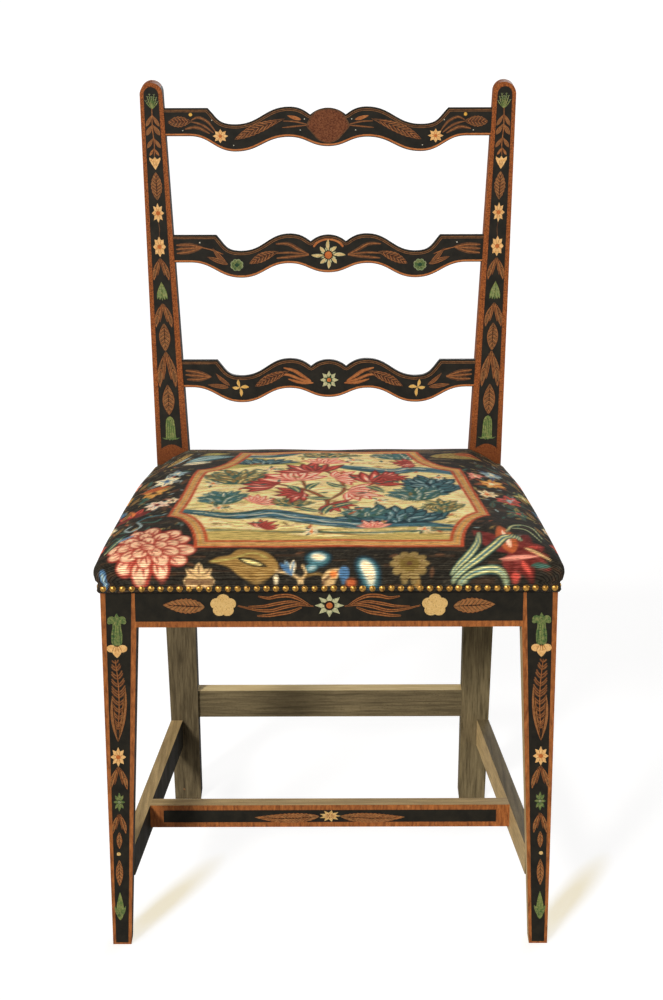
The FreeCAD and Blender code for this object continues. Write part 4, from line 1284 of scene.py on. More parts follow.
class FrontPainter:
    """The motifs of the front legs, the front seat rail and the cross stretcher."""

    leg_low, leg_high = 6.0, 408.0
    panel_low, panel_high = 2.5, 451.0

    def leg(self, side: float) -> None:
        """Paints one front leg: a tapering black panel and its string of motifs.

        Args:
            side: -1 for the left and 1 for the right.
        """
        name = "left" if side < 0 else "right"
        face = WorkFace(Vector((0, -FRONT_FACE, 0)), FRONT_UP, FRONT_OUT, 0.0, 0.0, side)
        o = Ornament(face)
        low, high = (front_outline_width("front_leg_" + name, z) for z in (self.leg_low, self.leg_high))

        def edge(z: float, outer: bool) -> float:
            """An edge of the leg at a height."""
            i = 1 if outer else 0
            return low[i] + (high[i] - low[i]) * (z - self.leg_low) / (self.leg_high - self.leg_low)

        def margin(z: float, outer: bool) -> float:
            """The width of the banding at a height."""
            share = min(max(z / 440, 0), 1)
            return (3.6 + 2.2 * share) if outer else (3.6 + 2.6 * share)

        heights = np.linspace(self.panel_low, self.panel_high, 12)
        panel = [(edge(z, True) - margin(z, True), z) for z in heights]
        panel += [(edge(z, False) + margin(z, False), z) for z in heights[::-1]]
        o.shape(panel, Colour.GROUND, 0)
        axis = Ornament(WorkFace(face.origin, face.along, face.out, LEG_AXIS, LEG_LEAN, side), leaves=Colour.AMBER)
        self.leg_motifs(axis)
        for *lines, colour, tier in axis.films:
            first, second = ([(LEG_AXIS + LEG_LEAN * v + u, v) for u, v in line] if line else None for line in lines)
            o.films.append((first, second, colour, tier))
        o.make("front_leg_" + name + "_ornament")

    def leg_motifs(self, o: Ornament) -> None:
        """Paints the string of motifs down a leg.

        Args:
            o: The ornament to paint on.
        """
        flask = [(1, 385), (5.4, 386), (7.2, 391), (7.4, 400), (6.0, 408), (5.6, 414), (1, 415)]
        o.shape(flask + [(2 - x, y) for x, y in reversed(flask[1:-1])], Colour.GREEN, 1)
        for s in (-1, 1):
            o.dot(1 + s * 6.0, 418.2, 4.6, Colour.GREEN, 1)
            o.dot(1 + s * 8.4, 415.6, 2.6, Colour.GREEN, 1)
            o.stroke(smooth_line([(1 + s * 1.6, 404), (1 + s * 2.2, 414), (1 + s * 6.4, 420)], 4), 0.9,
                    Colour.LIME, 2, 0.3)
        o.leaf(1, 409, 90, 17.5, 7, Colour.GREEN, None, veins=0)
        for x in (-3.6, -1.2, 1.2, 3.6):
            o.stroke([(1 + x * 1.2, 388), (1 + x, 400), (1 + x * 0.7, 412)], 0.8,
                    Colour.DEEP if x * x > 4 else Colour.LIME, 2, 0.4)
        for x in (-6.4, 6.4):
            o.dot(1 + x, 383, 5.4, Colour.APRICOT, 3, 0, 0.86)
        o.leaf(1, 387.5, -90, 16, 11, Colour.APRICOT, None, veins=0, full=0.45)
        for x in (-5.6, -1.6, 1.6, 5.6):
            o.stroke([(1 + x * 0.5, 386), (1 + x, 379.5)], 0.7, Colour.RUST, 4, 0.3)
        o.leaf(1, 266, 97.4, 70, 5.4, bend=2.4, veins=0, full=0.5)
        o.leaf(1, 266, 84, 58, 5.0, bend=-2.4, veins=0, full=0.5)
        o.stroke(smooth_line([(1, 268), (-4.8, 296), (-7.4, 330)], 5), 0.9, Colour.VEIN, 2, 0.5)
        o.stroke(smooth_line([(1, 268), (5.0, 292), (6.8, 318)], 5), 0.9, Colour.VEIN, 2, 0.5)
        o.feather([(1.1, 282), (-0.6, 306), (0.0, 338), (3.2, 369)], 16.0, 20)
        o.star(1, 246.6, 9.2, 12.6, eye=Colour.ORANGE, colour=Colour.APRICOT)
        o.leaf_pair(0.8, 235, 30.5, 9.4, 5.2)
        o.petals(0.5, 188.6, 8, 1.4, 6.8, 3.4, Colour.GREEN, Colour.LIME, 1.8)
        o.dot(0.5, 188.6, 1.8, Colour.PALE, 5)
        o.leaf_pair(0.8, 174, 27, 7.2, 4.6)
        o.leaf(0.9, 149.5, -90, 22, 6.4, veins=4, full=0.5)
        o.dot(1.8, 120.6, 2.4, Colour.STRAW, 1)
        o.leaf(1.2, 113, -90, 35, 8.4, veins=6, full=0.5)
        for s in (-1, 1):
            o.leaf(0.9, 36, 90 - s * 24, 17, 4.6, Colour.GREEN, None, veins=0)
        o.leaf(0.9, 32.5, 90, 37.5, 8.6, Colour.LIME, None, veins=0, full=0.36)
        for s in (-1, 0, 1):
            o.stroke([(0.9 + s * 1.2, 38), (0.9 + s * 2.2, 60)], 0.8, Colour.DEEP, 4)

    def rail(self) -> None:
        """Paints the front seat rail."""
        o = Ornament(WorkFace(Vector((0, -FRONT_FACE, 0)), FRONT_UP, FRONT_OUT), leaves=Colour.AMBER)
        o.panel(220.8, 416.2, self.panel_high)

        for s in SIDES:
            leaf_between(o, s, (141.5, 434), (189, 436.5), 19, teeth=9, veins=8, full=0.42)
            o.dot(s * 120.4, 435.6, 15, Colour.STRAW, 1, 5, 0.93)
            for points, width in (
                    ([(17.6, 434.4), (33, 436.3), (50.9, 433.4), (65.6, 429.4), (81.8, 430), (104, 435.3)], 4.0),
                    ([(21.7, 435.3), (33, 442.8), (44.3, 447.2), (57.3, 447), (68.7, 444.6), (80.5, 446.8)], 4.6),
                    ([(26.5, 436.6), (42.7, 440), (59, 437.8), (75.3, 434.6), (92, 434.4)], 3.8),
                    ([(31, 433.2), (44.5, 427.6), (57.5, 425.4), (68.9, 423.4), (82, 422.8)], 4.6)):
                path = [(s * x, y) for x, y in points]
                o.blade(path, width, Colour.RUST, Colour.VEIN)
        o.star(0.4, 435.4, 16.8, 14.4, waist=0.56, colour=Colour.SAGE, eye=None)
        o.petals(0.4, 435.4, 8, 4, 11, 2.8, Colour.DEEP, None, 0.9, 22.5)
        o.dot(0.4, 435.4, 6.0, Colour.VEIN, 3)
        o.dot(0.4, 435.4, 3.6, Colour.ORANGE, 4)
        o.make("front_seat_rail_ornament")

    def stretcher(self) -> None:
        """Paints the cross stretcher."""
        o = Ornament(WorkFace(Vector((0, -115.5, 0)), FRONT_UP, FRONT_OUT), leaves=Colour.AMBER)
        o.panel(206, 93.7, 110.2)
        o.star(0, 102, 13.6, 8.0, points=9, waist=0.55, colour=Colour.STRAW, eye=None)
        o.petals(0, 102, 8, 1.2, 5.6, 1.2, Colour.RUST, None, 0.7)

        for s in SIDES:
            leaf_between(o, s, (13, 101.4), (93, 100.4), 14.2, teeth=15, veins=14, bend=2.0, full=0.42)
            o.blade([(s * x, y) for x, y in ((34, 104), (58, 107.4), (80, 104.6))], 1.2, Colour.GROUND, None)
        o.make("cross_stretcher_ornament")


def front_outline_width(node: str, height: float) -> Point:
    """The distances from the middle of a front leg's inner and outer edge at a height, in millimetres.

    Args:
        node: The leg's name.
        height: The height.

    Returns:
        The inner and the outer distance.
    """
    spots = []
    bm = merged(node)
    for e in bm.edges:
        a, b = (v.co / MM for v in e.verts)
        if max(a.y, b.y) < 0.2 - FRONT_FACE and (a.z - height) * (b.z - height) <= 0 and abs(a.z - b.z) > 1:
            spots.append(abs(a.x + (b.x - a.x) * (height - a.z) / (b.z - a.z)))
    bm.free()
    return min(spots), max(spots)


@dataclass(frozen=True)
class Station:
    """One level of a seat layer: how far out its plan lies, and how high."""

    offset: float
    height: float
    corner: float
    bow: float
    pinch: float


@dataclass
class SeatLayer:
    """One layer of the stuffed seat, in millimetres from the front rail's face and the middle.

    Args:
        gap: Depth below the cover's outer face.
        hem: Height of its lower edge.
        hem_offset: How far its lower edge stands outside the seat frame.
        thick: Its thickness.
        cells: Cells each way in its mesh.
    """

    gap: float
    hem: float
    hem_offset: float
    thick: float
    cells: int
    depth: float = 414.0
    half_front: float = 260.0
    slope: float = SEAT_SLOPE
    crown: float = 38.0
    frame_top: float = 474.0
    reach: float = 158.0
    power: float = 2.6
    middle: float = 0.27
    dome: float = 2.0
    rear_drop: float = 6.0
    corner_drop: float = 19.0
    lump: float = 0.9
    small_lump: float = 0.6

    def stations(self) -> list[Station]:
        """The layer's levels from its hem to the crown's flat top.

        Returns:
            The levels, from the lowest.
        """
        rows = [Station(self.hem_offset, self.hem, 3.0, 0.0, 0.0)]
        if self.hem < 463:
            rows += [Station(self.hem_offset + 1.6, self.hem + 2.5, 3.0, 0, 0), Station(2.1 - self.gap, 463, 3.5, 0, 0)]
            rows += [Station(5.1 - self.gap, 466.8, 5.5, 2.5, 0)]
        for step in range(49):
            turn = math.radians(90) * step / 48
            inward = math.cos(turn) ** (2 / self.power) if step < 48 else 0.0
            upward = math.sin(turn) ** (2 / self.power)
            rows.append(Station(7 - self.reach + (self.reach - self.gap) * inward,
                    self.frame_top + (self.crown - self.gap) * upward, 34 - 26 * inward,
                    1 + 2.5 * inward, 3.5 * inward))
        return [row for row in rows if row.height >= self.hem]

    def side_at(self, y: float, offset: float) -> float:
        """The seat's half width at a depth."""
        return self.half_front - self.slope * y + offset * 1.00515

    def plan(self, s: Station) -> list[np.ndarray]:
        """The four sides of a level's plan, each from the middle of one rounded corner to the next.

        Args:
            s: The level.

        Returns:
            The sides: front, right, rear and left.
        """
        front, rear = -s.offset, self.depth + s.offset
        wide, narrow = self.side_at(front, s.offset), self.side_at(rear, s.offset) - s.pinch
        corners = [np.array(c) for c in ((-wide, front), (wide, front), (narrow, rear), (-narrow, rear))]
        rounds = []
        for i, corner in enumerate(corners):
            radius = s.corner + (max(s.corner - 8, 0) if i > 1 else 0)
            a = corners[i - 1] - corner
            b = corners[(i + 1) % 4] - corner
            a, b = a / np.linalg.norm(a), b / np.linalg.norm(b)
            half = math.acos(float(np.clip(a @ b, -1, 1))) / 2
            centre = corner + (a + b) / np.linalg.norm(a + b) * radius / math.sin(half)
            first = corner + a * radius / math.tan(half) - centre
            last = corner + b * radius / math.tan(half) - centre
            sweep = math.acos(float(np.clip(first @ last / radius ** 2, -1, 1)))
            turns = np.linspace(0, sweep, 17)
            rounds.append(centre + (np.sin(sweep - turns)[:, None] * first + np.sin(turns)[:, None] * last)
                    / math.sin(sweep))
        sides = []
        for i in range(4):
            start, end = rounds[i][8:], rounds[(i + 1) % 4][:9]
            share = np.linspace(0, 1, 41)[1:-1, None]
            line = start[-1] + (end[0] - start[-1]) * share
            if i % 2:
                line[:, 0] += (4 * s.bow * share * (1 - share))[:, 0] * np.sign(line[:, 0])
            sides.append(np.vstack([start, line, end]))
        return sides

    def grid(self) -> tuple[np.ndarray, np.ndarray]:
        """The layer's outer face as a square grid of points, with the unrolled cloth's own places.

        Returns:
            The points and the cloth places, each with the grid's two indices first.
        """
        rows = self.stations()
        table = np.array([[r.offset, r.height, r.corner, r.bow, r.pinch] for r in rows])
        path = np.concatenate([[0], np.cumsum(np.hypot(*np.diff(table[:, :2], axis=0).T))])
        half = self.cells // 2
        points = np.zeros((self.cells + 1, self.cells + 1, 3))
        for k in range(half + 1):
            t = k / half
            q = (1 - max(t, self.middle)) / (1 - self.middle) * path[-1]
            s = Station(*(float(np.interp(q, path, table[:, i])) for i in range(5)))
            shrink = min(t / self.middle, 1.0)
            sides = self.plan(s)
            for i, side in enumerate(sides):
                length = np.concatenate([[0], np.cumsum(np.hypot(*np.diff(side, axis=0).T))])
                where = np.linspace(0, length[-1], 2 * k + 1) if k else np.array([length[-1] / 2])
                x, y = (np.interp(where, length, side[:, c]) for c in (0, 1))
                x, y = x * shrink, 207 + (y - 207) * shrink
                steps = np.arange(2 * k + 1)
                column, row = ((half - k + steps, half - k), (half + k, half - k + steps),
                               (half + k - steps, half + k), (half - k, half + k - steps))[i]
                points[column, row, 0], points[column, row, 1], points[column, row, 2] = x, y, s.height
        points[..., 2] += self.sag(points)
        cloth = self.unrolled(points)
        return points, cloth

    def sag(self, p: np.ndarray) -> np.ndarray:
        """How the stuffing lifts or lets down the crown at each point: domed, lower at the rear, a little lumpy.

        Args:
            p: The points.

        Returns:
            The lift at each point.
        """
        x, y = p[..., 0], p[..., 1]
        rise = np.clip((p[..., 2] - self.frame_top) / self.crown, 0, 1) ** 0.8
        dome = self.dome * np.exp(-(x / 150) ** 2 - ((y - 190) / 120) ** 2)
        rear = -self.rear_drop * np.clip((y - 235) / 160, 0, 1) ** 1.5
        corner = np.clip((np.abs(x) - 178) / 38, 0, 1) ** 1.2 * np.clip((y - 270) / 110, 0, 1)
        rear = rear - self.corner_drop * corner
        lumps = self.lump * np.sin(x / 37 + 1.3) * np.sin(y / 41 + 0.4) + self.small_lump * np.sin(x / 19 + y / 23)
        return rise * (dome + rear + lumps)

    def unrolled(self, p: np.ndarray) -> np.ndarray:
        """The cloth's own flat place of each point, across and up the stitched panel.

        Args:
            p: The points.

        Returns:
            The flat places.
        """
        n = self.cells
        u = np.linspace(-1, 1, n + 1)[:, None] + np.zeros((1, n + 1))
        v = np.linspace(-1, 1, n + 1)[None, :] + np.zeros((n + 1, 1))
        lead = (np.abs(v) - np.abs(u)) / np.maximum(np.maximum(np.abs(u), np.abs(v)), 0.05)
        front = np.clip(lead / 0.24 + 0.5, 0, 1)
        front = front * front * (3 - 2 * front)
        drop = np.maximum(512 - p[..., 2], 0) * 0.82
        return np.stack([p[..., 0] + np.sign(u) * drop * (1 - front), p[..., 1] + np.sign(v) * drop * front], -1)

    def post_front(self, z: np.ndarray) -> np.ndarray:
        """Where the posts' front faces lie at a height."""
        bend = np.clip(z - 432.5, 0, None)
        return 384 + np.where(z < 483.5, bend ** 2 / 521, (z - KNEE_HEIGHT) * 0.1996)

    def build(self, name: str, lively: Callable[[np.ndarray], np.ndarray] | None = None) -> bpy.types.Object:
        """Builds the layer's mesh, cut round the posts.

        Args:
            name: The piece's name.
            lively: Makes the small shifts of the points that folds and nails cause.

        Returns:
            The piece, with the cloth's places in the attribute called thread.
        """
        points, cloth = self.grid()
        if lively is not None:
            points = lively(points)
        n = self.cells
        flat = points.reshape(-1, 3).copy()
        clear = 0.4 + self.gap * 0.1
        x, y, z = np.abs(flat[:, 0]), flat[:, 1], flat[:, 2]
        inner = POST_INNER - LEG_LEAN * np.clip(z - KNEE_HEIGHT, 0, None) - clear
        front = self.post_front(z) - clear
        inside = (x > inner) & (y > front)
        index = np.arange((n + 1) ** 2).reshape(n + 1, n + 1)
        quads = np.stack([index[:-1, :-1], index[1:, :-1], index[1:, 1:], index[:-1, 1:]], -1).reshape(-1, 4)
        quads = quads[~inside[quads].all(1)]
        near_front = inside & (y - front < x - inner)
        flat[near_front, 1] = front[near_front]
        near_inner = inside & ~near_front
        flat[near_inner, 0] = np.sign(flat[near_inner, 0]) * inner[near_inner]
        used = np.unique(quads)
        remap = np.full(len(flat), -1)
        remap[used] = np.arange(len(used))
        mesh = bpy.data.meshes.new(name)
        places = (flat[used] - np.array([0, FRONT_FACE, 0])) * MM
        mesh.from_pydata([], [], [])
        mesh.vertices.add(len(used))
        mesh.vertices.foreach_set("co", places.astype(np.float32).ravel())
        mesh.loops.add(len(quads) * 4)
        mesh.loops.foreach_set("vertex_index", remap[quads].astype(np.int32).ravel())
        mesh.polygons.add(len(quads))
        mesh.polygons.foreach_set("loop_start", np.arange(len(quads), dtype=np.int32) * 4)
        mesh.update(calc_edges=True)
        mesh.validate()
        thread = mesh.attributes.new("thread", "FLOAT_VECTOR", "POINT")
        across = cloth.reshape(-1, 2)[used]
        thread.data.foreach_set("vector", np.column_stack([across, np.zeros(len(used))]).astype(np.float32).ravel())
        piece = new_object(name, mesh)
        for polygon in mesh.polygons:
            polygon.use_smooth = True
        return piece


class Wool(Enum):
    """The wools of the needlework, as seen on a screen."""

    GROUND = (39, 36, 30)
    NIGHT = (25, 25, 22)
    DUSK = (66, 62, 46)
    UMBER = (84, 58, 40)
    CREAM = (230, 214, 172)
    FIELD = (226, 208, 148)
    STRAW = (234, 216, 140)
    SAND = (178, 142, 90)
    TAN = (200, 168, 116)
    OCHRE = (204, 146, 68)
    BLUSH = (238, 204, 174)
    PETAL = (222, 184, 148)
    BRICK = (158, 62, 50)
    PINK = (218, 142, 122)
    ROSE = (190, 76, 64)
    WINE = (112, 46, 41)
    MAROON = (92, 36, 31)
    RUST = (172, 88, 50)
    ORANGE = (212, 118, 60)
    OLIVE = (140, 110, 60)
    KHAKI = (182, 160, 92)
    MOSS = (166, 158, 86)
    HUSK = (130, 110, 66)
    BARK = (104, 86, 42)
    SEA = (56, 88, 76)
    TEAL = (62, 102, 108)
    NAVY = (34, 52, 60)
    BLUE = (70, 106, 140)
    ICE = (150, 172, 170)
    BAND = (176, 76, 46)


@dataclass
class WoolPainter:
    """Paints the stitched pattern on the cloth's own flat places, in millimetres."""

    cloth: np.ndarray
    soft: float = 1.1
    # The lift raises every wool beyond its own colour: partly a make-up for the wool shader's darkening, partly painted
    # light for the seat's top.
    lift: float = 2.3

    def __post_init__(self) -> None:
        """Covers the cloth with its dark ground."""
        ground = np.array(Wool.GROUND.value, float)
        rng = np.random.default_rng(7)
        self.colours = ground * (1 + rng.normal(0, 0.10, (len(self.cloth), 1)))
        self.x, self.y = self.cloth[:, 0], self.cloth[:, 1]

    def lay(self, cover: np.ndarray, where: np.ndarray, wool: Wool) -> None:
        """Lays a wool over part of the cloth.

        Args:
            cover: How fully each of the places is covered, from 0 to 1.
            where: The indices of the places.
            wool: The wool.
        """
        share = np.clip(cover, 0, 1)[:, None]
        self.colours[where] = self.colours[where] * (1 - share) + np.array(wool.value, float) * share

    def near(self, x: float, y: float, reach: float) -> np.ndarray:
        """The places within reach of a point."""
        return np.flatnonzero((np.abs(self.x - x) < reach) & (np.abs(self.y - y) < reach))

    def local(self, where: np.ndarray, x: float, y: float, angle: float) -> tuple[np.ndarray, np.ndarray]:
        """The places in a motif's own turned frame.

        Args:
            where: The indices of the places.
            x, y: Its place.
            angle: Its direction in degrees.

        Returns:
            How far along and how far across each place lies.
        """
        c, s = math.cos(math.radians(angle)), math.sin(math.radians(angle))
        dx, dy = self.x[where] - x, self.y[where] - y
        return c * dx + s * dy, -s * dx + c * dy

    def edge(self, distance: np.ndarray) -> np.ndarray:
        """A soft edge from a distance that is negative inside."""
        return np.clip(0.5 - distance / (2 * self.soft), 0, 1)

    def disc(self, x: float, y: float, rx: float, ry: float, wool: Wool, angle: float = 0.0) -> None:
        """Stitches an oval.

        Args:
            x, y: Its place.
            rx: Half its length.
            ry: Half its width.
            wool: Its wool.
            angle: Its direction in degrees.
        """
        where = self.near(x, y, max(rx, ry) + 3)
        a, b = self.local(where, x, y, angle)
        self.lay(self.edge((np.hypot(a / rx, b / ry) - 1) * min(rx, ry)), where, wool)

    def leaf(self, x: float, y: float, angle: float, length: float, width: float, wool: Wool, vein: Wool | None = None,
             bend: float = 0.0, stripes: Wool | None = None) -> None:
        """Stitches a pointed leaf from its stalk, with a vein and slanting stripes.

        Args:
            x, y: Its place.
            angle: Its direction in degrees.
            length: Its length.
            width: Its width.
            wool: Its wool.
            vein: Its vein's wool, or None.
            bend: How far it bows sideways.
            stripes: Its stripes' wool, or None.
        """
        where = self.near(x, y, length + 4)
        a, b = self.local(where, x, y, angle)
        t = np.clip(a / length, 0, 1)
        b = b - bend * 4 * t * (1 - t)
        half = width / 2 * np.sin(np.pi * t ** 0.85) ** 0.8
        outside = np.maximum(np.abs(b) - half, np.maximum(-a, a - length))
        cover = self.edge(outside)
        self.lay(cover, where, wool)
        if stripes is not None:
            band = np.sin((a - np.abs(b) * 0.9) * 2 * np.pi / 7.5)
            self.lay(cover * np.clip(band * 2.2 - 0.4, 0, 1), where, stripes)
        if vein is not None:
            self.lay(cover * self.edge(np.abs(b) - 0.9) * (t < 0.9), where, vein)

    def flower(self, x: float, y: float, radius: float, petals: int, outer: Wool, inner: Wool, eye: Wool,
               squash: float = 1.0) -> None:
        """Stitches a round flower with lobed petals, an inner ring and an eye.

        Args:
            x, y: Its place.
            radius: Its radius.
            petals: Its number of petals.
            outer: The petals' wool.
            inner: The ring's wool.
            eye: The eye's wool.
            squash: Its height as a share of its width.
        """
        where = self.near(x, y, radius + 4)
        a, b = self.x[where] - x, (self.y[where] - y) / squash
        r, angle = np.hypot(a, b), np.arctan2(b, a)
        lobe = np.abs(np.cos(angle * petals / 2)) ** 0.6
        reach = radius * (0.72 + 0.28 * lobe)
        cover = self.edge(r - reach)
        self.lay(cover, where, outer)
        self.lay(cover * self.edge(lobe * 9 - 1.6) * (r > radius * 0.35), where, Wool.UMBER)
        self.lay(self.edge(r - reach * 0.55), where, inner)
        self.lay(self.edge(r - radius * 0.24), where, eye)

    def line(self, points: Sequence[Point], width: float, wool: Wool, steps: int = 8, taper: float = 0.0) -> None:
        """Stitches a line through points, narrowed towards its ends by taper.

        Args:
            points: The points that it runs through.
            width: Its width.
            wool: Its wool.
            steps: New points for each stretch.
            taper: 1 narrows it to nothing at both ends.
        """
        smooth = np.array(smooth_line(points, steps))
        low, high = smooth.min(0) - width - 2, smooth.max(0) + width + 2
        where = np.flatnonzero((self.x > low[0]) & (self.x < high[0]) & (self.y > low[1]) & (self.y < high[1]))
        best = np.full(len(where), 1e9)
        px, py = self.x[where], self.y[where]
        for i, ((ax, ay), (bx, by)) in enumerate(zip(smooth, smooth[1:])):
            dx, dy = bx - ax, by - ay
            t = np.clip(((px - ax) * dx + (py - ay) * dy) / max(dx * dx + dy * dy, 1e-9), 0, 1)
            place = (i + t) / (len(smooth) - 1)
            half = width / 2 * (1 - taper + taper * np.sin(np.pi * (0.05 + 0.9 * place)))
            best = np.minimum(best, np.hypot(px - ax - t * dx, py - ay - t * dy) - half)
        self.lay(self.edge(best), where, wool)

    def depth(self, outline: Sequence[Point]) -> tuple[np.ndarray, np.ndarray]:
        """How far inside an outline each place near it lies.

        Args:
            outline: The outline.

        Returns:
            The depths, negative outside, and the indices of their places.
        """
        ring = np.array(outline)
        low, high = ring.min(0) - 3, ring.max(0) + 3
        where = np.flatnonzero((self.x > low[0]) & (self.x < high[0]) & (self.y > low[1]) & (self.y < high[1]))
        px, py = self.x[where], self.y[where]
        best = np.full(len(where), 1e9)
        for (ax, ay), (bx, by) in zip(ring, np.roll(ring, -1, 0)):
            dx, dy = bx - ax, by - ay
            t = np.clip(((px - ax) * dx + (py - ay) * dy) / max(dx * dx + dy * dy, 1e-9), 0, 1)
            best = np.minimum(best, np.hypot(px - ax - t * dx, py - ay - t * dy))
        return np.where(self.within(where, outline), best, -best), where

    def within(self, where: np.ndarray, outline: Sequence[Point]) -> np.ndarray:
        """Which of the places lie inside an outline.

        Args:
            where: The indices of the places.
            outline: The outline.

        Returns:
            True for each place inside.
        """
        ring = np.array(outline)
        px, py = self.x[where], self.y[where]
        inside = np.zeros(len(where), bool)
        for (ax, ay), (bx, by) in zip(ring, np.roll(ring, -1, 0)):
            if ay != by:
                inside ^= ((ay > py) != (by > py)) & (px < (bx - ax) * (py - ay) / (by - ay) + ax)
        return inside

    def area(self, outline: Sequence[Point], wool: Wool) -> None:
        """Fills an outline."""
        depth, where = self.depth(outline)
        self.lay(self.edge(-depth), where, wool)

    def store(self, mesh: bpy.types.Mesh) -> None:
        """Writes the colours to the mesh, in the shader's own scale and raised by the lift, which is partly painted
        light.

        Args:
            mesh: The cloth's mesh.
        """
        share = np.clip(self.colours, 0, 255) / 255
        scaled = np.where(share <= 0.04045, share / 12.92, ((share + 0.055) / 1.055) ** 2.4)
        # The lift brightens the wools partly to make up for the shader's darkening and partly as painted light, since
        # the lamps light the seat's top weakly.
        rgba = np.column_stack([scaled * self.lift, np.ones(len(scaled))]).astype(np.float32)
        wool = mesh.color_attributes.new("wool", "FLOAT_COLOR", "POINT")
        wool.data.foreach_set("color", rgba.ravel())


class Seat:
    """The stuffed seat: needlework cover, linen, hair pad, hessian, webs and brass nails."""

    pad_foot = 477.5
    nail_radius = 4.15
    nail_height = 2.5
    nail_sides = 12

    def __init__(self) -> None:
        """Sizes the layers."""
        self.cover = SeatLayer(gap=0.0, hem=451.6, hem_offset=2.0, thick=1.7, cells=320)
        self.linen = SeatLayer(gap=2.3, hem=468.4, hem_offset=0.6, thick=0.6, cells=60)
        self.pad = SeatLayer(gap=3.6, hem=477.6, hem_offset=0.0, thick=0.0, cells=60)

    def lively(self, points: np.ndarray) -> np.ndarray:
        """Gives the cover its small dents over the nails and soft folds at the corners.

        Args:
            points: The cover's points.

        Returns:
            The moved points.
        """
        moved = points.copy()
        x, y, z = points[..., 0], points[..., 1], points[..., 2]
        skirt = np.clip(1 - np.abs(z - 462) / 7, 0, 1)
        ripple = 0.45 * skirt * np.sin((x + y) * 2 * np.pi / NAIL_PITCH)
        moved[..., 1] -= ripple * (y < 3)
        corner = np.exp(-((np.abs(x) - 250) / 14) ** 2 - ((y - 12) / 16) ** 2) * np.clip((z - 470) / 10, 0, 1)
        moved[..., 2] -= corner * 1.6
        return moved

    def make_cover(self) -> None:
        """Builds the needlework cover and stitches its pattern."""
        piece = self.cover.build("needlework_seat", self.lively)
        mesh = piece.data
        thread = np.zeros(len(mesh.vertices) * 3, np.float32)
        mesh.attributes["thread"].data.foreach_get("vector", thread)
        painter = WoolPainter(thread.reshape(-1, 3)[:, :2].astype(float))
        Needlework(painter).stitch()
        painter.store(mesh)
        mesh.materials.append(WoolFinish().make())
        finish_with(piece, "SOLIDIFY", thickness=self.cover.thick * MM, offset=-1.0)
        settle(piece, "needlework", "needlework_cover")

    def make_linen(self) -> None:
        """Builds the linen undercover."""
        piece = self.linen.build("linen_layer")
        piece.data.materials.append(Cloth("linen_cloth", linear(206, 192, 162), linear(150, 134, 104), 0.0011).make())
        finish_with(piece, "SOLIDIFY", thickness=self.linen.thick * MM, offset=-1.0)
        settle(piece, "linen", "linen_undercover")

    def make_pad(self) -> None:
        """Builds the curled hair pad between the hessian and the linen."""
        points, _ = self.pad.grid()
        n = self.pad.cells
        under = points.copy()
        under[..., 2] = self.pad_foot
        rim = np.maximum(np.abs(np.linspace(-1, 1, n + 1))[:, None], np.abs(np.linspace(-1, 1, n + 1))[None, :]) > 0.999
        rng = np.random.default_rng(3)
        points[..., 2] += np.where(rim, 0, rng.normal(0, 0.35, rim.shape) - 0.5)
        bm = bmesh.new()
        for layer, flip in ((points, False), (under, True)):
            sheet = [[bm.verts.new(Vector((p[0], p[1] - FRONT_FACE, p[2])) * MM) for p in row] for row in layer]
            for i in range(n):
                for j in range(n):
                    loop = [sheet[i][j], sheet[i + 1][j], sheet[i + 1][j + 1], sheet[i][j + 1]]
                    bm.faces.new(loop[::-1] if flip else loop)
        bmesh.ops.remove_doubles(bm, verts=bm.verts, dist=2e-4)
        holes = [e for e in bm.edges if len(e.link_faces) == 1]
        if holes:
            bmesh.ops.holes_fill(bm, edges=holes, sides=0)
        inner, face = (POST_INNER - 0.8) * MM, (POST_FACE - FRONT_FACE) * MM
        for side in (-1, 1):
            for v in [v for v in bm.verts if side * v.co.x > inner and v.co.y > face]:
                if v.co.y - face < side * v.co.x - inner:
                    v.co.y = face
                else:
                    v.co.x = side * inner
        bmesh.ops.remove_doubles(bm, verts=bm.verts, dist=1e-5)
        bmesh.ops.dissolve_degenerate(bm, edges=bm.edges, dist=1e-5)
        bmesh.ops.recalc_face_normals(bm, faces=bm.faces)
        piece = mesh_object("hair_pad", bm)
        piece.data.materials.append(HairFinish().make())
        settle(piece, "curled_hair", "hair_stuffing")

    def soft_copy(self, node: str, name: str, cut: int, waves: float) -> bpy.types.Object:
        """A finer copy of a thin solid with the small unevenness of cloth.

        Args:
            node: The solid's name.
            name: The copy's name.
            cut: Cuts along each edge.
            waves: Height of its waves, in millimetres.

        Returns:
            The copy.
        """
        piece = frame["nodes"][node].copy()
        piece.data = piece.data.copy()
        piece.name = name
        piece.parent = None
        bpy.context.scene.collection.objects.link(piece)
        only(piece)
        bpy.ops.object.mode_set(mode="EDIT")
        bpy.ops.mesh.select_all(action="SELECT")
        bpy.ops.mesh.remove_doubles(threshold=1e-6)
        bpy.ops.mesh.tris_convert_to_quads()
        bpy.ops.mesh.subdivide(number_cuts=cut)
        bpy.ops.object.mode_set(mode="OBJECT")
        for v in piece.data.vertices:
            x, y = v.co.x / MM, v.co.y / MM
            v.co.z += waves * MM * (math.sin(x / 23 + y / 31) + math.sin(x / 47 - y / 13)) / 2
        piece.data.materials.clear()
        return piece

    def make_under(self) -> None:
        """Builds the hessian and the six webs."""
        jute = Cloth("jute_web", linear(176, 142, 92), linear(112, 84, 50), 0.0021).make()
        sack = Cloth("hessian_cloth", linear(160, 128, 84), linear(92, 70, 44), 0.0018).make()
        piece = self.soft_copy("hessian_sheet", "hessian_layer", 3, 0.0)
        piece.data.materials.append(sack)
        settle(piece, "hessian", "hessian_sheet")
        for node in sorted(n for n in frame["nodes"] if "_web_" in n):
            web = self.soft_copy(node, node.replace("_web_", "_webbing_"), 5, 0.12)
            web.data.materials.append(jute)
            settle(web, "webbing", node)

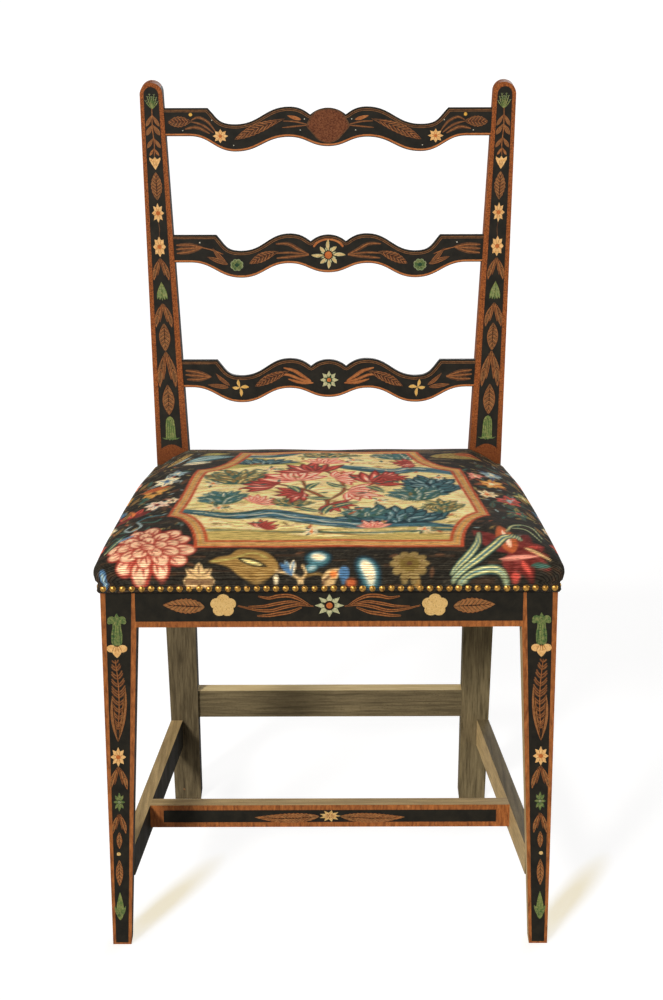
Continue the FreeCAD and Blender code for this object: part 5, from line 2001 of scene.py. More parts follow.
    def make_nails(self) -> None:
        """Sets a domed brass head in the place of each nail."""
        bm = merged("brass_nails")
        seen: set = set()
        heads = []
        for start in bm.verts:
            if start in seen:
                continue
            part, queue = [], [start]
            seen.add(start)
            while queue:
                v = queue.pop()
                part.append(v.co.copy())
                for e in v.link_edges:
                    other = e.other_vert(v)
                    if other not in seen:
                        seen.add(other)
                        queue.append(other)
            heads.append(sum(part, Vector()) / len(part))
        bm.free()
        made = bmesh.new()
        rng = np.random.default_rng(5)
        for head in heads:
            x, y = head.x / MM, head.y / MM
            if y < -FRONT_FACE:
                facing = Vector((0, -1, 0))
                seat = Vector((head.x, -0.252, head.z))
            elif y > 163.5:
                facing = Vector((0, 1, 0))
                seat = Vector((head.x, 0.166, head.z))
            else:
                facing = Vector((math.copysign(1, x), SEAT_SLOPE, 0)).normalized()
                seat = Vector((math.copysign(self.cover.side_at(y + FRONT_FACE, 2.0) * MM, x), head.y, head.z))
            self.dome(made, seat, facing, rng)
        piece = mesh_object("brass_nail_heads", made)
        only(piece)
        bpy.ops.object.shade_smooth()
        piece.data.materials.append(BrassFinish().make())
        settle(piece, "nail_brass", "brass_nails")

    def dome(self, bm: bmesh.types.BMesh, seat: Vector, facing: Vector, rng: np.random.Generator) -> None:
        """Adds one nail head, a little uneven as hand-driven nails are.

        Args:
            bm: The mesh to add to.
            seat: The middle of its foot.
            facing: The way it looks.
            rng: The source of its unevenness.
        """
        turn = facing.to_track_quat("Z", "X") @ Vector((0, 0, 1)).to_track_quat("Z", "X")
        radius, height = self.nail_radius * MM * (1 + rng.normal(0, 0.02)), self.nail_height * MM
        shift = turn @ Vector((rng.normal(0, 0.12) * MM, rng.normal(0, 0.2) * MM, 0))
        tilt = Vector((rng.normal(0, 0.03), rng.normal(0, 0.03)))
        rings = []
        count = self.nail_sides
        for share in (0.0, 0.35, 0.65, 0.88):
            angle = math.radians(90) * share
            ring = []
            for i in range(count):
                a = 2 * math.pi * i / count
                p = Vector((radius * math.cos(angle) * math.cos(a), radius * math.cos(angle) * math.sin(a),
                        height * math.sin(angle)))
                p.z += tilt.x * p.x + tilt.y * p.y
                ring.append(bm.verts.new(seat + shift + turn @ p + facing * 0.1 * MM))
            rings.append(ring)
        top = bm.verts.new(seat + shift + facing * (height + 0.1 * MM))
        foot = bm.verts.new(seat + shift - facing * 0.35 * MM)
        base = [bm.verts.new(v.co - facing * 0.3 * MM) for v in rings[0]]
        for lower, upper in zip([base, *rings], rings):
            for i in range(count):
                bm.faces.new((lower[i], lower[(i + 1) % count], upper[(i + 1) % count], upper[i]))
        for i in range(count):
            bm.faces.new((rings[-1][i], rings[-1][(i + 1) % count], top))
            bm.faces.new((base[(i + 1) % count], base[i], foot))

    def make(self) -> None:
        """Builds the whole seat."""
        self.make_cover()
        self.make_linen()
        self.make_pad()
        self.make_under()
        self.make_nails()


class Needlework:
    """The seat's pattern: a landscape in a shaped frame, with garden flowers round it."""

    ground_rows = 900
    rear_rows = 700
    sprigs = 420
    field_rows = 900
    grasses = 60

    def __init__(self, wool: WoolPainter) -> None:
        """Takes the painter of the cloth."""
        self.wool = wool
        self.chance = np.random.default_rng(11)

    def frame_line(self) -> list[Point]:
        """The outer edge of the frame round the landscape, with its hollow corners.

        Returns:
            The outline.
        """
        def hollow(cx: float, cy: float, rx: float, ry: float, first: float, last: float) -> list[Point]:
            """A hollow corner of the frame."""
            turns = np.radians(np.linspace(first, last, 9))
            return [(cx + rx * math.cos(t), cy + ry * math.sin(t)) for t in turns]

        half = [(0, 8), (110, 8), *hollow(196, 8, 43, 90, 180, 98), *hollow(165, 372, 53, 100, 270, 186), (112, 362),
                (60, 364), (0, 364)]
        return half + [(-x, y) for x, y in reversed(half[1:-1])]

    def stitch(self) -> None:
        """Stitches the ground, the flowers, the frame and the landscape."""
        self.ground()
        self.small_sprigs()
        self.front_border()
        self.left_border()
        self.right_border()
        self.rear_and_sides()
        depth, where = self.wool.depth(self.frame_line())
        border = self.wool.colours.copy()
        self.landscape()
        outside = np.ones(len(border), bool)
        outside[where[depth > 0]] = False
        self.wool.colours[outside] = border[outside]
        for start, end, wool in ((-0.6, 3.6, Wool.BAND), (3.6, 12.0, Wool.SAND), (12.0, 16.0, Wool.BAND),
                (6.4, 8.2, Wool.OCHRE)):
            self.wool.lay(self.wool.edge(np.abs(depth - (start + end) / 2) - (end - start) / 2), where, wool)

    def ground(self) -> None:
        """Varies the dark ground in short rows of wool."""
        w = self.wool
        for _ in range(self.ground_rows):
            x, y = self.chance.uniform(-330, 330), self.chance.uniform(-60, 470)
            long = self.chance.uniform(8, 30)
            where = np.flatnonzero((np.abs(w.x - x) < long) & (np.abs(w.y - y) < 1.6))
            w.lay(np.full(len(where), 0.4), where, Wool.UMBER if self.chance.random() < 0.6 else Wool.NIGHT)
        for _ in range(self.rear_rows):
            x, y, long = self.chance.uniform(-300, 300), 420 - self.chance.exponential(50), self.chance.uniform(5, 18)
            where = np.flatnonzero((np.abs(w.x - x) < long) & (np.abs(w.y - y) < 1.4))
            w.lay(np.full(len(where), 0.4), where, (Wool.OLIVE, Wool.UMBER, Wool.TAN,
                    Wool.DUSK)[int(self.chance.integers(0, 4))])

    def bloom(self, x: float, y: float, radius: float, edge: Wool, heart: Wool, deep: Wool) -> None:
        """Stitches a full flower of overlapping petals, light inside and dark at their edges.

        Args:
            x, y: Its place.
            radius: Its radius.
            edge: The wool of the petals' edges.
            heart: The wool of their insides.
            deep: The wool under them.
        """
        w = self.wool
        w.disc(x, y, radius * 0.84, radius * 0.84, deep)
        for share, count, size in ((0.74, 12, 0.27), (0.48, 9, 0.25), (0.23, 5, 0.22), (0.0, 1, 0.18)):
            for i in range(count):
                turn = 360 * (i + share) / count + self.chance.uniform(-8, 8)
                c, s = math.cos(math.radians(turn)), math.sin(math.radians(turn))
                long = radius * size * self.chance.uniform(0.9, 1.15)
                px, py = x + radius * share * c, y + radius * share * s
                w.disc(px, py, long, long * 0.82, edge, turn)
                w.disc(px + 0.08 * long * c, py + 0.08 * long * s, long * 0.78, long * 0.58, heart,
                        turn + self.chance.uniform(-14, 14))
                for lean in (-16, 12):
                    w.leaf(px - 0.9 * long * c, py - 0.9 * long * s, turn + lean, long * 1.35, long * 0.22, edge)

    def star_leaf(self, x: float, y: float, size: float, wool: Wool, vein: Wool) -> None:
        """Stitches a leaf of five points."""
        for turn, share in ((90, 1.0), (40, 0.9), (140, 0.9), (2, 0.85), (178, 0.85)):
            self.wool.leaf(x, y, turn, size * share, size * 0.52, wool, vein)

    def front_border(self) -> None:
        """Stitches the flowers along the front."""
        w = self.wool
        self.bloom(-206, 8, 54, Wool.BRICK, Wool.PETAL, Wool.MAROON)
        self.star_leaf(-147, -42, 21, Wool.TAN, Wool.UMBER)
        w.area(smooth_line([(-137, -20), (-126, -12), (-112, -8), (-104, 2), (-88, 3), (-72, -2), (-61, -16),
                (-57, -30), (-68, -40), (-84, -43), (-101, -38), (-112, -29), (-122, -24), (-137, -20)], 5), Wool.OLIVE)
        w.line([(-132, -19), (-108, -14), (-86, -4), (-70, -14)], 2.2, Wool.MOSS)
        w.leaf(-103, -14, -22, 36, 11, Wool.NIGHT)
        w.leaf(-99, -16, -22, 27, 5, Wool.STRAW)
        w.line([(-60, -33), (-44, -36), (-30, -42)], 2.6, Wool.TAN)
        for turn, wool in ((112, Wool.ICE), (84, Wool.CREAM), (132, Wool.BLUE)):
            w.leaf(-42, -37, turn, 20, 7, wool, Wool.BLUE)
        for disc in ((-60, -40, 3, 3, Wool.CREAM), (-12, -14, 16, 15, Wool.NAVY), (-12, -14, 13, 12, Wool.TEAL),
                     (-12, -12, 9.5, 8, Wool.ICE, -20), (-12, -12, 7.5, 5, Wool.CREAM, -20),
                     (-20, -29, 8, 5.5, Wool.TEAL, 20), (-19, -29, 4.5, 2.8, Wool.ICE, 20)):
            w.disc(*disc)
        w.line([(-34, -42), (-26, -36), (-30, -26)], 2.8, Wool.TAN)
        w.line([(-26, -38), (-12, -36), (-4, -40)], 2.2, Wool.OLIVE)
        w.leaf(-8, -43, 28, 26, 13, Wool.TAN, Wool.UMBER)
        for disc in ((5, -36, 4, 3.6, Wool.ORANGE), (17, -35, 6, 8, Wool.BLUE), (25, -43, 6, 3, Wool.RUST),
                     *((44, -31, wide, tall, wool, 24) for wide, tall, wool in (
                         (14, 22, Wool.NAVY), (11, 18, Wool.TEAL), (8, 15, Wool.ICE), (6, 13, Wool.CREAM)))):
            w.disc(*disc)
        w.leaf(92, -30, -60, 24, 9, Wool.OLIVE)
        w.flower(91, -23, 22.5, 10, Wool.HUSK, Wool.BARK, Wool.UMBER, 0.95)
        w.disc(91, -23, 6, 5.6, Wool.BARK)
        w.disc(91, -23, 3, 2.8, Wool.UMBER)
        for x, y in ((-162, -22), (68, -12), (120, -8), (-38, -6), (116, -40)):
            w.leaf(x, y, self.chance.uniform(0, 360), 12, 5, Wool.UMBER)

    def blade(self, points: Sequence[Point], width: float) -> None:
        """Stitches a long curling leaf with pale stripes."""
        for share, wool in ((1.0, Wool.NAVY), (0.84, Wool.SEA), (0.6, Wool.STRAW), (0.26, Wool.TEAL)):
            self.wool.line(points, width * share, wool, 8, 0.75)

    def right_border(self) -> None:
        """Stitches the dark red flower, its curling leaves and the small flowers of the right side."""
        w = self.wool
        for turn, long, wide, wool, heart in ((128, 70, 28, Wool.WINE, Wool.MAROON),
                (62, 58, 26, Wool.MAROON, Wool.WINE), (28, 52, 26, Wool.WINE, Wool.ROSE),
                (2, 50, 25, Wool.MAROON, Wool.ROSE), (-26, 52, 24, Wool.WINE, Wool.MAROON),
                (-58, 44, 22, Wool.MAROON, Wool.ROSE), (-95, 34, 22, Wool.WINE, Wool.MAROON),
                (98, 72, 24, Wool.RUST, Wool.BLUSH)):
            w.leaf(208, -6, turn, long, wide, wool, None)
            w.leaf(208 + 12 * math.cos(math.radians(turn)), -6 + 12 * math.sin(math.radians(turn)), turn, long * 0.62,
                    wide * 0.3, heart)
        w.leaf(192, -17, 8, 50, 8, Wool.PINK)
        w.leaf(222, 6, -28, 42, 7, Wool.TAN)
        w.leaf(228, -27, 8, 28, 9, Wool.SEA)
        w.disc(211, -39, 5, 4, Wool.ROSE)
        self.blade([(139, -36), (148, -24), (159, -8), (169, 16), (172, 42)], 12)
        self.blade([(141, -41), (156, -28), (170, -14), (188, 10), (201, 30), (216, 32), (221, 24)], 14)
        self.blade([(147, -44), (164, -35), (182, -31), (194, -34), (202, -44)], 12)
        for points in ([(206, 46), (216, 68), (232, 80)], [(232, 80), (247, 76), (256, 48)],
                [(216, 60), (236, 62), (252, 34)]):
            w.line(points, 5, Wool.SEA, 6, 0.5)
            w.line(points, 1.6, Wool.STRAW, 6, 0.5)
        for flower in (
                (224, 168, 17, Wool.ROSE, Wool.SEA, Wool.ICE), (194, 180, 13, Wool.CREAM, Wool.OLIVE, Wool.ORANGE),
                (203, 222, 17, Wool.OCHRE, Wool.RUST, Wool.CREAM), (208, 262, 15, Wool.ICE, Wool.BLUE, Wool.CREAM),
                (182, 246, 11, Wool.PINK, Wool.ROSE, Wool.CREAM), (232, 124, 15, Wool.SEA, Wool.MOSS, Wool.ROSE),
                (250, 200, 15, Wool.MOSS, Wool.SEA, Wool.CREAM)):
            self.posy(*flower)
        w.leaf(128, 330, 6, 78, 34, Wool.OLIVE, Wool.UMBER, 6, Wool.MOSS)
        w.leaf(160, 352, -12, 46, 16, Wool.RUST, Wool.UMBER)
        for x, y, turn in ((214, 100, 60), (240, 100, 110), (196, 130, 80), (214, 144, 20), (236, 236, 100),
                (222, 290, 130), (190, 292, 60)):
            w.leaf(x, y, turn, 24, 8, Wool.SEA, Wool.UMBER)

    def posy(self, x: float, y: float, size: float, outer: Wool, leaf: Wool, eye: Wool) -> None:
        """Stitches a small ragged flower with a few leaves round it.

        Args:
            x, y: Its place.
            size: Its size.
            outer: The petals' wool.
            leaf: The leaves' wool.
            eye: The eye's wool.
        """
        w = self.wool
        turn = self.chance.uniform(0, 70)
        for lean in (200, 330, 80):
            w.leaf(x, y, lean + turn, size * self.chance.uniform(1.3, 1.9), size * 0.5, leaf, Wool.UMBER)
        for i in range(7):
            lean, long = turn + 51.4 * i + self.chance.uniform(-16, 16), size * self.chance.uniform(0.8, 1.3)
            w.leaf(x, y, lean, long, size * 0.62, outer)
            w.leaf(x, y, lean + self.chance.uniform(-8, 8), long * 0.7, size * 0.16, eye if i % 2 else leaf)
        w.disc(x, y, size * 0.24, size * 0.3, eye)

    def left_border(self) -> None:
        """Stitches the small flowers and leaves of the left side."""
        w = self.wool
        self.posy(-204, 238, 17, Wool.CREAM, Wool.ICE, Wool.BLUE)
        self.posy(-190, 262, 11, Wool.ICE, Wool.BLUE, Wool.CREAM)
        self.posy(-220, 202, 17, Wool.OCHRE, Wool.KHAKI, Wool.UMBER)
        w.leaf(-240, 212, 8, 44, 14, Wool.RUST)
        self.posy(-209, 148, 16, Wool.BLUSH, Wool.ICE, Wool.WINE)
        self.posy(-190, 158, 10, Wool.CREAM, Wool.PINK, Wool.UMBER)
        for turn, wool in ((60, Wool.ROSE), (100, Wool.ORANGE), (140, Wool.ROSE), (20, Wool.WINE), (180, Wool.WINE)):
            w.leaf(-243, 118, turn, 30, 14, wool, Wool.MAROON)
        w.line([(-232, 96), (-224, 76), (-236, 62), (-246, 74), (-238, 84)], 4, Wool.ICE, 6, 0.4)
        w.line([(-226, 92), (-208, 84), (-198, 92)], 4, Wool.SEA, 6, 0.5)
        w.line([(-232, 96), (-218, 106), (-196, 104)], 4, Wool.TEAL, 6, 0.5)
        w.leaf(-268, 10, 58, 46, 15, Wool.SEA, Wool.STRAW)
        w.leaf(-252, 34, 20, 26, 10, Wool.BLUE, Wool.ICE)
        w.disc(-265, -30, 7, 7, Wool.BLUE)
        w.disc(-265, -30, 3, 3, Wool.ICE)
        for leaf in ((-186, 312, 16, 70, 26, Wool.TEAL, None, 5), (-184, 314, 14, 62, 15, Wool.ICE, Wool.SEA, 5),
                (-190, 304, 4, 40, 12, Wool.CREAM, Wool.TEAL), (-206, 316, 40, 34, 6, Wool.ICE),
                (-216, 318, 44, 52, 20, Wool.OLIVE, Wool.UMBER, 4, Wool.KHAKI),
                (-164, 344, 10, 40, 14, Wool.MOSS, Wool.UMBER)):
            w.leaf(*leaf)
        for x, y, turn in ((-224, 176, 130), (-232, 236, 80), (-198, 190, 40), (-196, 120, 100), (-238, 166, 60),
                (-182, 216, 70)):
            w.leaf(x, y, turn, 20, 7, Wool.SEA if x < -200 else Wool.UMBER, None)

    def rear_and_sides(self) -> None:
        """Stitches leaves and flowers down the sides and over the rear edge."""
        w = self.wool
        for side in (-1, 1):
            for i, y in enumerate((40, 96, 150, 206, 262, 316)):
                self.posy(side * (286 - 0.1 * y), y, 13,
                        (Wool.ROSE, Wool.CREAM, Wool.BLUE, Wool.OCHRE, Wool.PINK, Wool.ICE)[i], Wool.SEA, Wool.ORANGE)
                w.leaf(side * (268 - 0.1 * y), y + 26, 90 + side * 30, 26, 9, Wool.OLIVE, Wool.UMBER)
        for i, x in enumerate(range(-150, 151, 50)):
            self.posy(x, 424 + 6 * (i % 2), 14, (Wool.OCHRE, Wool.ROSE, Wool.ICE)[i % 3], Wool.SEA, Wool.CREAM)
            w.leaf(x + 24, 420, 20, 24, 9, Wool.OLIVE, Wool.UMBER)

    def small_sprigs(self) -> None:
        """Scatters dull sprigs over the dark ground."""
        w = self.wool
        for _ in range(self.sprigs):
            side = -1 if self.chance.random() < 0.5 else 1
            x, y = side * self.chance.uniform(168, 300), self.chance.uniform(30, 400)
            wool = (Wool.UMBER, Wool.DUSK, Wool.SEA, Wool.OLIVE, Wool.DUSK, Wool.KHAKI, Wool.RUST,
                    Wool.ICE)[int(self.chance.integers(0, 8))]
            long = self.chance.uniform(7, 18) * (0.7 if wool in (Wool.KHAKI, Wool.ICE, Wool.RUST) else 1.0)
            w.leaf(x, y, self.chance.uniform(0, 360), long, long * 0.26, wool)

    def bush(self, x: float, y: float, rx: float, ry: float, wools: tuple[Wool, Wool, Wool], count: int) -> None:
        """Stitches a bush of pointed leaves that overlap like tiles, the outer ones first.

        Args:
            x, y: Its place.
            rx: Half its width.
            ry: Half its height.
            wools: Its wools, from the edge inwards.
            count: How many leaves.
        """
        w = self.wool
        w.disc(x, y, rx * 0.8, ry * 0.78, wools[0])
        for i in range(count):
            share = 1 - i / count
            turn = 137.5 * i
            px = x + rx * 0.7 * math.sqrt(share) * math.cos(math.radians(turn))
            py = y + ry * 0.7 * math.sqrt(share) * math.sin(math.radians(turn))
            lean = 90 + 62 * math.cos(math.radians(turn)) * -1 + self.chance.uniform(-24, 24)
            long = (rx + ry) / 2 * self.chance.uniform(0.42, 0.66)
            w.leaf(px, py, lean, long, long * 0.5, wools[0])
            w.leaf(px, py, lean, long * 0.86, long * 0.34, wools[1])
            if i % 3:
                w.leaf(px, py, lean + 5, long * 0.78, long * 0.11, wools[2])

    def fan(self, x: float, y: float, angle: float, size: float, wools: tuple[Wool, Wool, Wool]) -> None:
        """Stitches a ragged flower seen from the side, its pointed petals spread like a fan.

        Args:
            x, y: Its place.
            angle: Its direction in degrees.
            size: Its size.
            wools: Its wools, from the edge inwards.
        """
        w = self.wool
        for i, lean in enumerate((-74, 70, -50, 48, -26, 24, 0)):
            long = size * self.chance.uniform(0.8, 1.15)
            bend = self.chance.uniform(-3, 3)
            w.leaf(x, y, angle + lean, long, size * 0.36, wools[0], None, bend)
            w.leaf(x, y, angle + lean, long * 0.88, size * 0.24, wools[1], None, bend)
            w.leaf(x, y, angle + lean, long * 0.66, size * 0.09, wools[2] if i % 2 else wools[0], None, bend)

    def water(self, points: Sequence[Point], wide: float, waves: int) -> None:
        """Stitches a band of water with wavy light and dark rows.

        Args:
            points: The points that it runs through.
            wide: Its width.
            waves: How many rows of waves.
        """
        w = self.wool
        path = smooth_line(points, 8)
        for share, wool in ((1.0, Wool.NAVY), (0.9, Wool.SEA), (0.72, Wool.TEAL)):
            w.line(path, wide * share, wool, 1, 0.7)
        for i in range(waves):
            shift = wide * ((i + 0.5) / waves - 0.5) * 0.84
            row = [(x, y + shift + 2.0 * math.sin(x / 6.5 + i * 1.7)) for x, y in path]
            start = int(self.chance.integers(0, max(len(row) // 3, 1)))
            part = row[start:start + int(len(row) * self.chance.uniform(0.4, 0.9))]
            if len(part) > 2:
                w.line(part, 2.2, (Wool.ICE, Wool.NAVY, Wool.BLUE, Wool.CREAM)[i % 4], 1, 0.4)

    def landscape(self) -> None:
        """Stitches a general landscape: banks, leafy bushes, red flowers on curving stems and wavy water."""
        w = self.wool
        w.area(self.frame_line(), Wool.FIELD)
        depth, where = w.depth(self.frame_line())
        framed = np.zeros(len(w.x), bool)
        framed[where[depth > 0]] = True
        tones = (Wool.SAND, Wool.STRAW, Wool.CREAM, Wool.KHAKI, Wool.CREAM, Wool.MOSS)
        for _ in range(self.field_rows):
            x, y, reach = self.chance.uniform(-170, 170), self.chance.uniform(12, 372), self.chance.uniform(8, 34)
            wave = 2.4 * np.sin((w.x - x) / 9)
            where = np.flatnonzero(framed & (np.abs(w.x - x) < reach) & (np.abs(w.y - y - wave) < 1.3))
            w.lay(np.full(len(where), 0.55), where, tones[int(self.chance.integers(0, 6))])
        bank = smooth_line([(-152, 296), (-128, 318), (-92, 322), (-52, 306), (-30, 286), (-66, 280), (-110, 272),
                (-150, 270), (-152, 296)], 6)
        w.area(bank, Wool.MOSS)
        for points, wide, waves in (([(-190, 118), (-120, 94), (-70, 98), (-20, 78), (40, 64), (100, 66), (190, 40)],
                27, 7), ([(14, 270), (74, 250), (112, 264), (190, 240)], 24, 5),
                ([(-190, 330), (-84, 334), (-34, 350)], 18, 4)):
            self.water(points, wide, waves)
        for row, wool in ((0, Wool.OLIVE), (1, Wool.SEA), (2, Wool.KHAKI)):
            w.line([(-150 + 100 * t, 40 + 6 * row + 5 * math.sin(t * 2.2 + row))
                    for t in (0, 0.6, 1.2, 1.8, 2.4, 3)], 3.4, wool)
        w.area(smooth_line([(-150, 22), (-148, 42), (-104, 50), (-50, 40), (0, 30), (70, 40), (150, 34), (152, 22),
                (-150, 22)], 6), Wool.KHAKI)
        cool, warm = (Wool.NAVY, Wool.TEAL, Wool.ICE), (Wool.SEA, Wool.OLIVE, Wool.STRAW)
        cold = (Wool.SEA, Wool.TEAL, Wool.CREAM)
        for x, y, rx, ry, wools, count in ((-112, 226, 40, 34, warm, 40), (124, 190, 36, 40, cool, 46),
                (104, 160, 34, 26, cold, 34), (74, 84, 70, 22, cool, 56), (40, 98, 30, 16, cold, 26),
                (134, 120, 24, 24, warm, 24), (-126, 150, 30, 26, cold, 34), (0, 326, 40, 18, warm, 30),
                (92, 326, 40, 20, cold, 34), (-84, 296, 44, 16, cool, 30), (-46, 132, 30, 16, warm, 22)):
            self.bush(x, y, rx, ry, wools, count)
        for points, wide in (([(-8, 96), (-2, 140), (-26, 178), (-62, 202)], 6),
                ([(-2, 140), (18, 178), (10, 230), (-14, 266)], 5), ([(18, 178), (46, 196), (66, 220)], 4),
                ([(-26, 178), (-34, 224)], 4), ([(150, 296), (128, 300), (104, 292)], 4)):
            w.line(points, wide, Wool.UMBER, 8, 0.4)
            w.line(points, wide * 0.4, Wool.RUST, 8, 0.4)
        rose, blush = (Wool.WINE, Wool.ROSE, Wool.BLUSH), (Wool.ROSE, Wool.BLUSH, Wool.ROSE)
        for x, y, angle, size, wools in ((-66, 196, 150, 44, rose), (-38, 214, 100, 46, blush),
                (-20, 250, 110, 44, rose), (8, 226, 20, 36, blush), (52, 208, 60, 42, rose), (24, 172, -20, 40, blush),
                (-30, 170, 200, 36, rose), (66, 226, 10, 30, rose), (-6, 284, 80, 30, blush), (2, 130, -40, 30, rose),
                (-88, 132, 60, 26, blush), (104, 292, 190, 28, rose), (-78, 58, 70, 22, rose),
                (52, 56, 100, 22, blush)):
            self.fan(x, y, angle, size, wools)
        for x, y, angle, long in ((-8, 104, 150, 44), (-4, 112, 30, 46), (4, 150, 170, 34), (20, 190, 140, 30),
                (-26, 180, 60, 30), (44, 196, -50, 34), (-50, 196, -60, 30), (-6, 96, 70, 34)):
            w.leaf(x, y, angle, long, 11, Wool.SEA, Wool.STRAW, 3)
        for x, y in ((-130, 120), (60, 140), (-70, 262), (30, 300), (134, 230), (-20, 44), (110, 52), (-140, 206)):
            self.posy(x, y, 9, Wool.CREAM, Wool.SEA, Wool.ORANGE)
        for _ in range(self.grasses):
            x, y = self.chance.uniform(-140, 140), self.chance.uniform(40, 340)
            w.leaf(x, y, self.chance.uniform(-20, 200), self.chance.uniform(8, 16), 3.6,
                    (Wool.OLIVE, Wool.SEA, Wool.RUST)[int(self.chance.integers(0, 3))])


class Frame:
    """The wooden frame of the chair."""

    across = ("rear_seat_rail", "rear_stretcher")
    deep = ("side_seat_rail_left", "side_seat_rail_right", "side_stretcher_left", "side_stretcher_right")
    banded = ("front_leg_left", "front_leg_right", "front_seat_rail", "cross_stretcher")
    rails = ("crest_rail", "middle_ladder_rail", "lower_ladder_rail")
    posts = ("back_post_left", "back_post_right")

    def finish_nodes(self) -> None:
        """Gives each wooden solid its finish."""
        band, black = BAND.make(), JAPAN.make()
        x_wood, y_wood, z_wood, inner = PLAIN_X.make(), PLAIN_Y.make(), PLAIN_Z.make(), INNER.make()
        # Below the seat the left post gets the darker copy of the plain wood as painted shade.
        post, painted_shade_left_post = PostTimber(POST_BAND, PLAIN_Z).make(), PostTimber(POST_BAND, PAINTED_SHADE_DEEP_Z, "left_post_painted_shade_wood").make()
        iron = Paint("tack_iron", linear(46, 42, 38), linear(92, 70, 54), 900, None, 0.5).make()
        finishes = [(self.across, x_wood, "plain_wood"), (self.deep, y_wood, "plain_wood"),
                (self.banded, band, "painted_wood"), (self.rails, black, "painted_wood"),
                (self.posts[:1], painted_shade_left_post, "painted_wood"), (self.posts[1:], post, "painted_wood"),
                (("web_tacks",), iron, "tack_iron"), (tuple(n for n in frame["nodes"] if n.startswith("corner_block")),
                inner, "frame_wood")]
        for names, material, slot in finishes:
            for name in names:
                node = frame["nodes"][name]
                node.data.materials.clear()
                node.data.materials.append(material)
                only(node)
                bpy.ops.object.shade_smooth_by_angle(angle=math.radians(30))
        self.finish_faces(x_wood, z_wood)

    def finish_faces(self, x_wood: bpy.types.Material, z_wood: bpy.types.Material) -> None:
        """Gives single faces their own finish: painted light on the stretchers' tops and on pale left-facing inner
        sides, and painted shade on dark right-facing inner sides.

        Args:
            x_wood: The plain wood with its grain across.
            z_wood: The plain wood with its grain upright.
        """
        # The first three of these are lighter copies of the plain wood as painted light, and the last a near-black copy
        # as painted shade.
        painted_light_across, painted_light_deep, painted_light_upright, dark = PAINTED_LIGHT_X.make(), PAINTED_LIGHT_Y.make(), PAINTED_LIGHT_Z.make(), PAINTED_SHADE_Z.make()
        up, right, left, front = Vector((0, 0, 1)), Vector((1, 0, 0)), Vector((-1, 0, 0)), Vector((0, -1, 0))
        rest = Vector((0, 0, 0))
        # Painted light on the stretchers' tops and on the right leg's and right stretcher's left-facing sides; painted
        # shade on the right-facing sides of the left leg, left stretcher and left post.
        for name, pairs in {"rear_stretcher": ((up, PAINTED_LIGHT_PALE_X.make()),),
                "side_stretcher_left": ((up, painted_light_deep), (right, dark)), "side_stretcher_right": ((left, painted_light_deep),),
                "back_post_left": ((right, dark),), "front_leg_left": ((front, None), (right, dark), (rest, z_wood)),
                "front_leg_right": ((front, None), (left, painted_light_upright), (rest, z_wood)),
                "cross_stretcher": ((front, None), (up, painted_light_across), (rest, x_wood)),
                "front_seat_rail": ((front, None), (rest, x_wood))}.items():
            mesh = frame["nodes"][name].data
            for material in (m for _, m in pairs if m is not None):
                mesh.materials.append(material)
            for polygon in mesh.polygons:
                slot = 0
                for way, material in pairs:
                    slot += material is not None
                    if way is rest or polygon.normal.dot(way) > 0.8:
                        polygon.material_index = slot if material is not None else 0
                        break

    def make(self) -> None:
        """Finishes the solids and paints their ornament."""
        self.finish_nodes()
        back = BackPainter()
        for name, motifs in zip(self.rails, (back.crest, back.middle, back.lower)):
            LadderRail(name).dress(motifs)
        front = FrontPainter()
        for paint in (back.post, front.leg):
            for side in SIDES:
                paint(side)
        front.rail()
        front.stretcher()


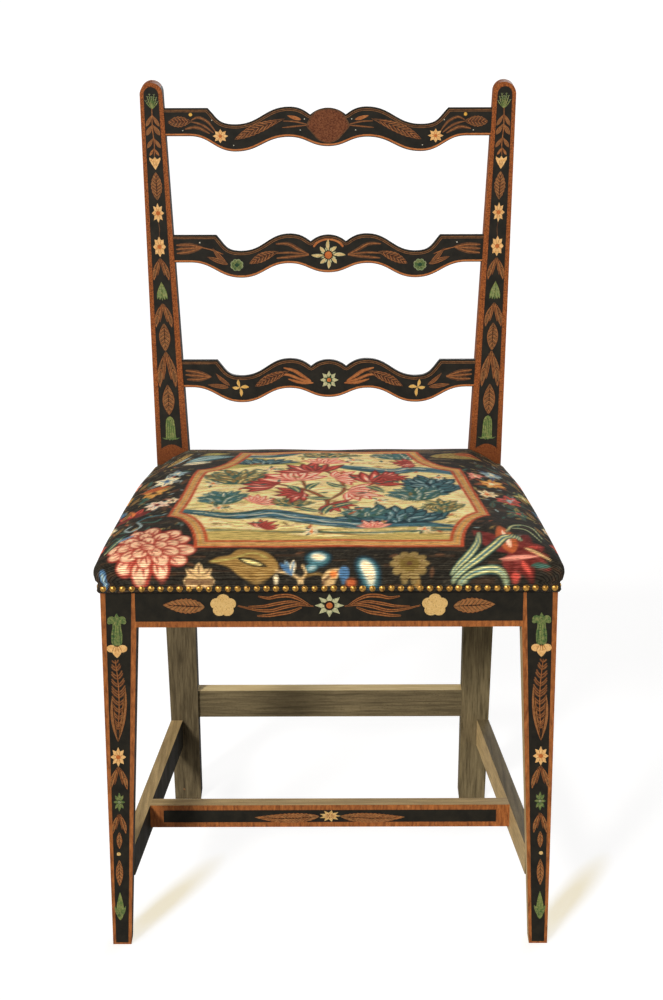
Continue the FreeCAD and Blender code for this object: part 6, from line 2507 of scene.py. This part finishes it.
@dataclass(frozen=True)
class Studio:
    """The camera, the white floor and the light."""

    place: tuple = (0.0031, -2.6874, 1.3986)
    tip: float = 71.06
    roll: float = -0.16
    lens: float = 82.87
    feet: tuple = ((-0.2485, -0.239), (0.2485, -0.239))
    shadow_shift: tuple = (0.044, 0.088)
    shadow_half: tuple = (0.155, 0.028)
    shadow_turn: float = 63.2
    lamps: tuple = (("key", (0.48, 0.95, -0.54), 9, 2.4), ("left", (1.0, 0.25, -0.5), 50, 1.1),
            ("low", (0.05, 1.0, -0.10), 20, 0.2), ("rear", (-0.3, -1.0, -0.12), 40, 1.7),
            ("right", (-1.0, 0.03, -0.12), 40, 1.3))

    def camera(self) -> None:
        """Stands the camera in front of the chair."""
        data = bpy.data.cameras.new("camera")
        data.lens, data.sensor_width = self.lens, 36.0
        camera = new_object("camera", data)
        turn = Matrix.Rotation(math.radians(self.tip), 4, "X") @ Matrix.Rotation(math.radians(self.roll), 4, "Z")
        camera.matrix_world = Matrix.Translation(self.place) @ turn
        bpy.context.scene.camera = camera

    def floor(self) -> None:
        """Lays a white floor that keeps the chair's shadow."""
        mesh = bpy.data.meshes.new("floor")
        mesh.from_pydata([(-30, -20, 0), (30, -20, 0), (30, 60, 0), (-30, 60, 0)], [], [(0, 1, 2, 3)])
        new_object("floor", mesh)
        r = Recipe("floor_white")
        for node in list(r.tree.nodes):
            r.tree.nodes.remove(node)
        out = r.tree.nodes.new("ShaderNodeOutputMaterial")
        white = r.node("BsdfDiffuse", {"Color": (0.6, 0.6, 0.6, 1)})
        near = self.near_feet(r)
        faint = r.node("BsdfDiffuse", {"Color": r.mix(near, (0.26, 0.25, 0.24, 1), (0.27, 0.38, 0.62, 1))})
        glow = r.node("Emission", {"Color": r.mix(near, (0.88, 0.88, 0.88, 1), (0.76, 0.66, 0.43, 1)), "Strength": 1.0})
        seen = r.node("LightPath").outputs["Is Camera Ray"]
        lit = r.node("AddShader", {0: faint.outputs[0], 1: glow.outputs[0]})
        shown = r.node("MixShader", {0: seen, 1: white.outputs[0], 2: lit.outputs[0]})
        r.tree.links.new(shown.outputs[0], out.inputs["Surface"])
        mesh.materials.append(r.material)

    def near_feet(self, r: Recipe) -> bpy.types.NodeSocket:
        """How near a place of the floor lies to the shadow behind one of the feet, from 0 to 1.

        Args:
            r: The floor's recipe.

        Returns:
            The share.
        """
        near = None
        for x, y in self.feet:
            shadow = (x + self.shadow_shift[0], y + self.shadow_shift[1], 0)
            moved = r.node("VectorMath", {0: r.place(), 1: shadow}, operation="SUBTRACT").outputs[0]
            level = r.node("VectorRotate", {"Vector": moved, "Angle": -math.radians(self.shadow_turn)},
                    rotation_type="Z_AXIS").outputs[0]
            share = r.node("VectorMath", {0: level, 1: (1 / self.shadow_half[0], 1 / self.shadow_half[1], 0)},
                    operation="MULTIPLY").outputs[0]
            away = r.node("VectorMath", {0: share}, operation="LENGTH").outputs[1]
            here = r.node("MapRange", {0: away, 1: 0.3, 2: 1.0, 3: 1.0, 4: 0.0}).outputs[0]
            near = here if near is None else r.maths("MAXIMUM", near, here)
        return near

    def light(self) -> None:
        """Lights the chair from above and the left, with weaker light from the right and behind."""
        world = bpy.data.worlds.new("studio")
        bpy.context.scene.world = world
        world.use_nodes = True
        tree = world.node_tree
        back = tree.nodes["Background"]
        path = tree.nodes.new("ShaderNodeLightPath")
        seen = tree.nodes.new("ShaderNodeMath")
        seen.operation = "MAXIMUM"
        tree.links.new(path.outputs["Is Camera Ray"], seen.inputs[0])
        tree.links.new(path.outputs["Is Transmission Ray"], seen.inputs[1])
        level = tree.nodes.new("ShaderNodeMix")
        tree.links.new(seen.outputs[0], level.inputs[0])
        level.inputs[2].default_value = 0.05
        level.inputs[3].default_value = 1.0
        tree.links.new(level.outputs[0], back.inputs["Strength"])
        back.inputs["Color"].default_value = WHITE
        for name, towards, spread, power in self.lamps:
            data = bpy.data.lights.new(name, "SUN")
            data.angle, data.energy = math.radians(spread), power
            lamp = new_object(name, data)
            lamp.matrix_world = Vector(towards).to_track_quat("-Z", "Y").to_matrix().to_4x4()

    def make(self) -> None:
        """Sets up the studio."""
        self.camera()
        self.floor()
        self.light()
        bpy.context.scene.view_settings.view_transform = "Standard"


def main() -> None:
    """Dresses the whole chair."""
    logging.basicConfig(level=logging.INFO, format="%(message)s")
    Frame().make()
    Seat().make()
    Studio().make()
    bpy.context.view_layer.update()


if __name__ == "__main__":
    main()
